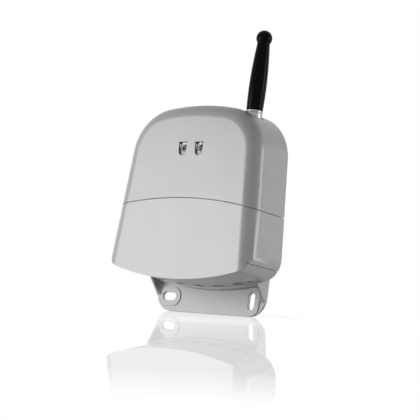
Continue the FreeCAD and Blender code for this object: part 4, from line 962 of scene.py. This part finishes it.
def window_form(name, side, grow, rear, front):
    """A window's outline, grown, at one side or in the middle: flat above and round below."""
    sizes = settings("windows")
    x = side * sizes.across
    radius = sizes.foot_radius + grow
    foot = sizes.low + sizes.foot_radius
    top = sizes.low + sizes.tall + grow
    wide = sizes.top_half_width + grow
    half = radius * math.cos(sizes.side_lean)
    low = foot - radius * math.sin(sizes.side_lean)
    round_foot = (x, foot, math.pi - 2 * sizes.side_lean)
    moves = [(x - wide, top), (x - half, low), round_foot, (x + wide, top)]
    return prism(name, (x + wide, top), moves, rear, front)


def side_at(height):
    """The half width of the housing at a height where its sides are straight."""
    sizes = settings("housing")
    return sizes.base_half_width - math.tan(sizes.side_taper) * height


def on_antenna_axis(height):
    """The place on the antenna's axis with this Z."""
    return (ANTENNA.x, ANTENNA.y, height)


class RECEIVER_OT_upper_cover(bpy.types.Operator):
    """Models the upper cover with its tongue, screw posts, antenna well and windows"""

    bl_idname = "receiver.upper_cover"
    bl_label = "Upper Cover"

    def execute(self, context):
        sizes = settings("housing")
        inner_front = sizes.depth - sizes.wall
        cover = housing_top("moulded_upper_cover", 0, 0, sizes.depth)
        hollow = housing_top("cover_hollow", sizes.wall, -sizes.run_out, inner_front)
        below = seam_side("below_seam", -sizes.seam_crown - sizes.run_out, sizes.seam_gap / 2)
        merged(cover, "DIFFERENCE", hollow, below)
        posts, threads = self.posts(sizes, inner_front)
        well, *holes = self.well(sizes)
        merged(cover, "UNION", *self.tongue(sizes, inner_front), *posts, well)
        rear, front = inner_front - sizes.wall, sizes.depth + sizes.wall
        windows = [window_form("window_cut", side, 0, rear, front) for side in SIDES]
        merged(cover, "DIFFERENCE", *holes, *threads, *windows)
        self.soften_edges(cover, sizes)
        finished(cover, "root", "housing_plastic", "upper_cover", "upper_plastic")
        return {"FINISHED"}

    def tongue(self, sizes, inner_front):
        """The lip that hangs inside the seam, and the root that reaches into the wall."""
        gap = sizes.fit_gap
        inset = sizes.wall + gap
        inside = inset + sizes.tongue_thick
        made = []
        for outer_inset, outer_front, low, high in (
            (inset, inner_front - gap, -sizes.tongue_drop, sizes.tongue_root / 2),
            (sizes.wall - gap, inner_front + gap, sizes.seam_gap / 2, sizes.tongue_root),
        ):
            ring = housing_top("tongue_ring", outer_inset, sizes.tongue_rear, outer_front)
            hollow_front = inner_front - inside + sizes.wall
            hollow = housing_top("tongue_hollow", inside, -sizes.run_out, hollow_front)
            merged(ring, "DIFFERENCE", hollow)
            made.append(merged(ring, "INTERSECT", seam_side("tongue_band", low, high)))
        return made

    def posts(self, sizes, inner_front):
        """The posts that take the screws from behind, and the holes to cut in them."""
        reach = inner_front + sizes.fit_gap - sizes.post_rear
        posts, threads = [], []
        for side in SIDES:
            for x, height in (
                (side_at(sizes.post_low) - sizes.post_inset, sizes.post_low),
                (sizes.post_across, sizes.post_high),
            ):
                foot = (side * x, ahead(sizes.post_rear), up(height))
                radius, deep = sizes.thread_radius, sizes.thread_depth
                posts.append(peg("screw_post", foot, sizes.post_radius, reach, FORWARD))
                threads.append(peg("screw_thread", foot, radius, deep, FORWARD, vertices=24))
        return posts, threads

    def well(self, sizes):
        """The tube round the antenna's foot, trimmed to the cover's form, and its two bores."""
        thick, radius = sizes.well_floor_thick, sizes.well_radius
        rise = sizes.height - sizes.well_floor + sizes.run_out
        floor, foot, below = (
            on_antenna_axis(up(sizes.well_floor - drop)) for drop in (0, thick, 2 * thick)
        )
        tube = peg("well_tube", foot, radius + sizes.well_wall, rise, UPWARD, vertices=72)
        merged(tube, "INTERSECT", housing_top("well_trim", 0, 0, sizes.depth))
        bore = peg("well_bore", floor, radius, rise, UPWARD, vertices=72)
        hole = peg("socket_hole", below, sizes.socket_hole, 4 * thick, UPWARD)
        return tube, bore, hole

    def soften_edges(self, cover, sizes):
        """Rounds the edges along the seam, at the mouth of the well and round the windows."""
        windows = settings("windows")

        def near_mouth(place):
            reach = math.hypot(place.x - ANTENNA.x, place.y - ANTENNA.y) - sizes.well_radius
            return abs(reach) < CLEAR and place.z > up(sizes.well_floor) + MM

        def on_window(place):
            inside = abs(place.x) < 2 * windows.across and place.z > up(windows.low) - MM
            return inside and abs(place.y - ahead(sizes.depth)) < NEAR

        soften(cover, on_seam(1), sizes.soft_edge)
        soften(cover, near_mouth, sizes.soft_edge)
        soften(cover, on_window, windows.soft_edge)


class RECEIVER_OT_lower_cover(bpy.types.Operator):
    """Models the lower cover with its slotted lugs"""

    bl_idname = "receiver.lower_cover"
    bl_label = "Lower Cover"

    def execute(self, context):
        sizes = settings("housing")
        inner_front = sizes.depth - sizes.wall
        cover = housing_form("moulded_lower_cover", 0, 0, sizes.depth)
        hollow = housing_form("cover_hollow", sizes.wall, -sizes.run_out, inner_front)
        above = seam_side("above_seam", -sizes.seam_gap / 2, sizes.height)
        wide = sizes.base_half_width + sizes.run_out
        side_end = up(sizes.lower_seam + sizes.seam_gap / 2)
        low = (-wide, ahead(inner_front), up(-sizes.run_out))
        tray = slab("tray_space", low, (wide, ahead(-sizes.run_out), side_end))
        merged(cover, "DIFFERENCE", hollow, above, tray)
        for side in SIDES:
            merged(cover, "UNION", self.lug(side))

        def on_front_foot(place):
            return place.z < side_end - CLEAR and abs(place.y - ahead(sizes.depth)) < NEAR

        def on_lower_seam(place):
            return abs(place.z - side_end) < NEAR and abs(place.x) > sizes.sharp_middle

        soften(cover, on_seam(-1), sizes.soft_edge)
        soften(cover, on_front_foot, 2 * sizes.soft_edge)
        soften(cover, on_lower_seam, sizes.soft_edge)
        finished(cover, "lower_cover", "housing_plastic", "lower_cover")
        return {"FINISHED"}

    def lug(self, side):
        """A lug whose slot takes one of the lower screws."""
        sizes = settings("lugs")
        outer = settings("housing").base_half_width - sizes.wall_inset
        slot = side_at(sizes.height) - sizes.slot_inset
        inner = slot - sizes.inner_margin

        def plane(across, deep):
            return Vector((side * across, ahead(deep), up(sizes.height)))

        moves = [
            (inner, sizes.rear),
            (inner, sizes.front),
            (slot + sizes.outer_margin, sizes.front),
            (outer, sizes.wall_front),
            (outer, sizes.rear),
        ]
        lug = drawn("cover_lug", plane, UPWARD, moves[-1], moves)
        run_along((0, 0, sizes.thick))
        x, y, radius = side * slot, ahead(sizes.slot_end), sizes.slot_radius
        low, high = up(sizes.height) - MM, up(sizes.height + sizes.thick) + MM
        end = peg("lug_slot_end", (x, y, low), radius, high - low, UPWARD, vertices=32)
        mouth = slab("lug_slot_mouth", (x - radius, y, low), (x + radius, BACK, high))
        return merged(lug, "DIFFERENCE", end, mouth)


class RECEIVER_OT_windows(bpy.types.Operator):
    """Models the status lights: lens, reflector, lamp and spacer behind each window"""

    bl_idname = "receiver.windows"
    bl_label = "Status Lights"

    def execute(self, context):
        sizes = settings("windows")
        models = (
            (self.lens(sizes), "domed_lens", "window_lens", "clear_lens"),
            (self.reflector(sizes), "bowl_reflector", "lamp_reflector", "mirror_metal"),
            (self.lamp(sizes), "domed_lamp", "status_lamp", "lamp_amber"),
        )
        for side, end in zip(SIDES, ("left", "right")):
            for model, name, node, slot in models:
                piece = copied(model, f"{name}_{end}", side * sizes.across)
                finished(piece, "root", slot, f"{node}_{end}")
            refined(f"lamp_spacer_{end}", "root", "insulator_plastic", width=0.15 * MM)
        for model, *_ in models:
            bpy.data.objects.remove(model)
        return {"FINISHED"}

    def lens(self, sizes):
        """A window lens in the middle, with a round front edge and a flange at its rear."""
        housing = settings("housing")
        inner_front = housing.depth - housing.wall
        rear, front = inner_front - sizes.flange_thick, housing.depth - sizes.sink
        lens = window_form("lens", 0, -sizes.clearance, rear, front)
        flange = window_form("lens_flange", 0, sizes.flange_margin, rear, inner_front)
        merged(lens, "UNION", flange)

        def on_face(place):
            return abs(place.y - ahead(front)) < NEAR

        return soften(lens, on_face, sizes.lens_edge, segments=4)

    def laid_forward(self, name, rear, start, moves, steps):
        """A turned piece that points forward from its rear, at the windows' middle height."""
        sizes = settings("windows")
        piece = turned(name, (0, 0, 0), start, moves, steps)
        edit(piece)
        bpy.ops.transform.rotate(value=-math.pi / 2, orient_axis="X", center_override=(0, 0, 0))
        bpy.ops.transform.translate(value=(0, rear, up(sizes.low + sizes.tall / 2)))
        leave()
        return piece

    def reflector(self, sizes):
        """A bowl with a bead at its mouth and a collar round the lamp."""
        low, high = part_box("lamp_reflector_left")
        deep = high.y - low.y
        outer, bead = sizes.reflector_radius, sizes.reflector_bead
        bore = sizes.lamp_radius + sizes.lamp_gap
        flare = sizes.mouth_radius - bore
        rise = deep - sizes.reflector_collar
        radius = (flare**2 + rise**2) / (2 * flare)
        moves = [
            (outer - bead, 0),
            (outer, bead),
            (outer, deep - bead),
            (outer - bead, deep),
            (sizes.mouth_radius, deep),
            (sizes.mouth_radius - radius, deep, -math.asin(rise / radius)),
            (bore, 0),
        ]
        return self.laid_forward("reflector", high.y, moves[-1], moves, steps=64)

    def lamp(self, sizes):
        """A domed resin lamp with a rim at its foot."""
        low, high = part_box("status_lamp_left")
        radius, rim, edge = sizes.lamp_radius, sizes.lamp_flange, sizes.lamp_edge
        dome = high.y - low.y - radius
        moves = [
            (rim - edge, 0),
            (rim, edge),
            (rim, sizes.lamp_flange_thick - edge),
            (rim - edge, sizes.lamp_flange_thick),
            (radius, sizes.lamp_flange_thick),
            (radius, dome),
            (0, dome, math.pi / 2),
        ]
        return self.laid_forward("lamp", high.y, (0, 0), moves, steps=48)


class RECEIVER_OT_antenna(bpy.types.Operator):
    """Models the rubber stub antenna and the sleeve that couples it to its socket"""

    bl_idname = "receiver.antenna"
    bl_label = "Antenna"

    def execute(self, context):
        self.stub(settings("antenna"))
        self.sleeve(settings("antenna"))
        return {"FINISHED"}

    def stub(self, sizes):
        """A waisted rubber stub with a ball end, hollow where it holds its core."""
        ball = STUB_HIGH.z - STUB_LOW.z - sizes.ball_radius
        fillet_across = sizes.neck_radius + sizes.neck_fillet
        spread = sizes.ball_radius + sizes.neck_fillet
        fillet_high = ball - math.sqrt(spread**2 - fillet_across**2)
        fillet_turn = math.atan2(ball - fillet_high, fillet_across)

        def flank(start, end):
            """The arc from one point of the flank to another, as a centre and a turn."""
            first, last = Vector(start), Vector(end)
            chord = last - first
            rise = math.sqrt(sizes.flank_radius**2 - (chord.length / 2) ** 2)
            centre = (first + last) / 2 + Vector((-chord.y, chord.x)).normalized() * rise
            return (*centre, 2 * math.asin(chord.length / 2 / sizes.flank_radius))

        low_place = (sizes.foot_radius, sizes.foot_edge)
        wide_place = (sizes.wide_radius, sizes.wide_rise)
        moves = [
            (sizes.foot_radius - sizes.foot_edge, 0),
            (sizes.foot_radius - sizes.foot_edge, sizes.foot_edge, math.pi / 2),
            flank(low_place, wide_place),
            flank(wide_place, (sizes.neck_radius, sizes.neck_rise)),
            (sizes.neck_radius, fillet_high),
            (fillet_across, fillet_high, -fillet_turn),
            (0, ball, math.pi / 2 + fillet_turn),
            (0, sizes.wire_rise),
            (sizes.wire_radius, sizes.wire_rise),
            (sizes.wire_radius, sizes.collar_rise),
            (sizes.collar_radius, sizes.collar_rise),
            (sizes.collar_radius, 0),
        ]
        stub = turned("rubber_antenna_stub", on_antenna_axis(STUB_LOW.z), moves[-1], moves)
        merged(stub, "DIFFERENCE", self.ring(sizes))
        finished(stub, "antenna", "antenna_rubber", "antenna_stub")

    def ring(self, sizes):
        """The ring to cut round the stub's foot, with a slanted upper side."""
        inner, outer = sizes.foot_radius - sizes.ring_depth, sizes.wide_radius + MM
        half = 2 * sizes.ring_depth
        moves = [(outer, -half), (outer, half), (inner, -half)]
        height = STUB_LOW.z + sizes.ring_rise
        return turned("stub_ring", on_antenna_axis(height), moves[-1], moves)

    def sleeve(self, sizes):
        """A plated sleeve with chamfered ends, a shallow groove and an inner lip."""
        tall = SLEEVE_HIGH.z - SLEEVE_LOW.z
        radius = (SLEEVE_HIGH.x - SLEEVE_LOW.x) / 2
        edge, deep = sizes.sleeve_edge, sizes.groove_depth
        low = sizes.groove_rise
        high = low + sizes.groove_width
        lip_foot = tall - sizes.sleeve_lip_thick
        moves = [
            (radius - edge, 0),
            (radius, edge),
            (radius, low),
            (radius - deep, low + deep),
            (radius - deep, high - deep),
            (radius, high),
            (radius, tall - edge),
            (radius - edge, tall),
            (sizes.sleeve_lip, tall),
            (sizes.sleeve_lip, lip_foot),
            (sizes.sleeve_bore, lip_foot),
            (sizes.sleeve_bore, 0),
        ]
        foot = on_antenna_axis(SLEEVE_LOW.z)
        sleeve = turned("plated_coupling_sleeve", foot, moves[-1], moves)
        half_way = SLEEVE_LOW.z + tall / 2
        soften(sleeve, lambda place: place.z < half_way, sizes.sleeve_round, segments=2)
        finished(sleeve, "antenna_coupling", "plated_metal", "antenna_coupling")


class RECEIVER_OT_bracket(bpy.types.Operator):
    """Models the cast wall bracket"""

    bl_idname = "receiver.bracket"
    bl_label = "Wall Bracket"

    def execute(self, context):
        refined("wall_bracket", "root", "bracket_metal", width=0.7 * MM)
        return {"FINISHED"}


class RECEIVER_OT_other_pieces(bpy.types.Operator):
    """Gives every other piece joined facets, soft edges and its material"""

    bl_idname = "receiver.other_pieces"
    bl_label = "Other Pieces"

    def execute(self, context):
        bodies = frame["record"]["behaviour"]["bodies"]
        body_of = {node: body for body, nodes in bodies.items() for node in nodes}
        for part in frame["record"]["subparts"]:
            node = part["node"]
            if not frame["nodes"][node].hide_render:
                refined(node, body_of[node], part["material_slot"])
        return {"FINISHED"}


class RECEIVER_OT_stage(bpy.types.Operator):
    """Sets the camera, the lights, the floor and the white surroundings"""

    bl_idname = "receiver.stage"
    bl_label = "Stage"

    def execute(self, context):
        scene, stage = context.scene, settings("stage")
        scene.view_settings.view_transform = "Standard"
        back = bearing(stage.azimuth, stage.elevation)
        self.camera(scene, stage, back)
        self.floor(stage, back)
        self.world(scene, stage)
        self.lights(scene, stage)
        return {"FINISHED"}

    def camera(self, scene, stage, back):
        """A camera at the photograph's viewing angle; back points from its aim to itself."""
        level = Vector(UPWARD).cross(back).normalized()
        plumb = back.cross(level)
        upward = plumb * math.cos(stage.roll) - level * math.sin(stage.roll)
        right = level * math.cos(stage.roll) + plumb * math.sin(stage.roll)
        aim = Vector((stage.aim_across, stage.aim_deep, stage.aim_high))
        data = bpy.data.cameras.new("camera")
        data.lens = stage.lens
        data.clip_start = 0.01
        data.clip_end = 20
        camera = bpy.data.objects.new("camera", data)
        turn = Matrix((right, upward, back)).transposed().to_4x4()
        camera.matrix_world = Matrix.Translation(aim + back * stage.distance) @ turn
        scene.collection.objects.link(camera)
        scene.camera = camera

    def floor(self, stage, back):
        """A pale floor under the bracket's foot that leans down in front and mirrors faintly."""
        normal = Vector((0, -math.sin(stage.floor_tilt), math.cos(stage.floor_tilt)))
        toward = (back - normal * back.dot(normal)).normalized()
        foot = Vector((0, BRACKET_HIGH.y, BRACKET_LOW.z))
        grid_add = bpy.ops.mesh.primitive_grid_add
        floor = added("floor", grid_add, x_subdivisions=8, y_subdivisions=8, size=stage.floor_size)
        turn = Matrix((normal.cross(toward), -toward, normal)).transposed().to_4x4()
        floor.matrix_world = Matrix.Translation(foot) @ turn
        floor.visible_shadow = False
        floor.data.materials.append(self.floor_finish(stage))

    def floor_finish(self, stage):
        """White to all that looks, with a shadow and a mirror image; clear from below."""
        finish = Finish("pale_floor")
        camera, seen = finish.looked_at()
        across, deep = finish.along(0), finish.along(1)
        fade = 1 - (deep * -1).over(stage.fade_start, stage.fade_end)
        near = 1 - (across * across + deep * deep).over(0, stage.cloth_reach**2)
        level = 1 + camera * near * (stage.glow - 1)
        cloth = finish.node("ShaderNodeBsdfDiffuse", Color=WHITE)
        glow = finish.node("ShaderNodeEmission", Color=WHITE, Strength=level)
        pale = finish.mixed(near * stage.cloth, glow, cloth)
        mirror = finish.node("ShaderNodeBsdfGlossy", Color=WHITE, Roughness=0.002)
        top = finish.mixed(fade * stage.mirror, pale, mirror)
        clear = finish.node("ShaderNodeBsdfTransparent", Color=WHITE)
        under = finish.node("ShaderNodeNewGeometry", output="Backfacing")
        whole = finish.mixed(under, finish.mixed(seen, cloth, top), clear)
        finish.node("ShaderNodeOutputMaterial", Surface=whole)
        return finish.material

    def world(self, scene, stage):
        """White where the camera, glossy and clear surfaces look, and a low light elsewhere."""
        scene.world = bpy.data.worlds.new("surroundings")
        finish = Finish("surroundings", scene.world)
        seen = finish.looked_at()[1]
        level = seen + (1 - seen) * stage.ambient
        background = finish.node("ShaderNodeBackground", Color=WHITE, Strength=level)
        finish.node("ShaderNodeOutputWorld", Surface=background)

    def lights(self, scene, stage):
        """A large and a low light at the left in front, and two tall ones at the right."""
        deep = settings("housing").depth / 2
        middle = Vector((0, ahead(deep), up(stage.lit_height)))
        # degrees to the right of the front and up, width and height in metres, and power
        for name, azimuth, elevation, wide, tall, power in (
            ("key_light", -34, 0, 0.5, 0.5, stage.key),
            ("low_light", -42, -22, 0.5, 0.5, stage.low_key),
            ("strip_light", 114, 3, 0.22, 0.8, stage.strip),
            ("rear_light", 150, 3, 0.2, 0.8, stage.rear),
        ):
            data = bpy.data.lights.new(name, "AREA")
            data.shape = "RECTANGLE"
            data.size = wide
            data.size_y = tall
            data.energy = power
            light = bpy.data.objects.new(name, data)
            toward = bearing(math.radians(azimuth), math.radians(elevation))
            light.location = middle + toward * stage.light_reach
            light.rotation_euler = toward.to_track_quat("Z", "Y").to_euler()
            scene.collection.objects.link(light)


class RECEIVER_PT_panel(bpy.types.Panel):
    """Lists the steps that model the receiver"""

    bl_idname = "RECEIVER_PT_panel"
    bl_label = "Radio Receiver"
    bl_space_type = "VIEW_3D"
    bl_region_type = "UI"
    bl_category = "Receiver"

    def draw(self, context):
        for operator in OPERATORS:
            self.layout.operator(operator.bl_idname)


OPERATORS = (
    RECEIVER_OT_stage,
    RECEIVER_OT_upper_cover,
    RECEIVER_OT_lower_cover,
    RECEIVER_OT_windows,
    RECEIVER_OT_antenna,
    RECEIVER_OT_bracket,
    RECEIVER_OT_other_pieces,
)
SETTINGS = {
    "housing": HousingSizes,
    "lugs": LugSizes,
    "windows": WindowSizes,
    "antenna": AntennaSizes,
    "colours": FinishColours,
    "stage": StageSettings,
}


def register():
    for name, group in SETTINGS.items():
        bpy.utils.register_class(group)
        setattr(bpy.types.Scene, f"receiver_{name}", bpy.props.PointerProperty(type=group))
    for operator in (*OPERATORS, RECEIVER_PT_panel):
        bpy.utils.register_class(operator)


def unregister():
    for operator in (*OPERATORS, RECEIVER_PT_panel):
        bpy.utils.unregister_class(operator)
    for name, group in SETTINGS.items():
        delattr(bpy.types.Scene, f"receiver_{name}")
        bpy.utils.unregister_class(group)


def main():
    register()
    FINISHES.update(make_finishes())
    bpy.ops.receiver.stage()
    bpy.ops.receiver.upper_cover()
    bpy.ops.receiver.lower_cover()
    bpy.ops.receiver.windows()
    bpy.ops.receiver.antenna()
    bpy.ops.receiver.bracket()
    bpy.ops.receiver.other_pieces()


if __name__ == "__main__":
    main()
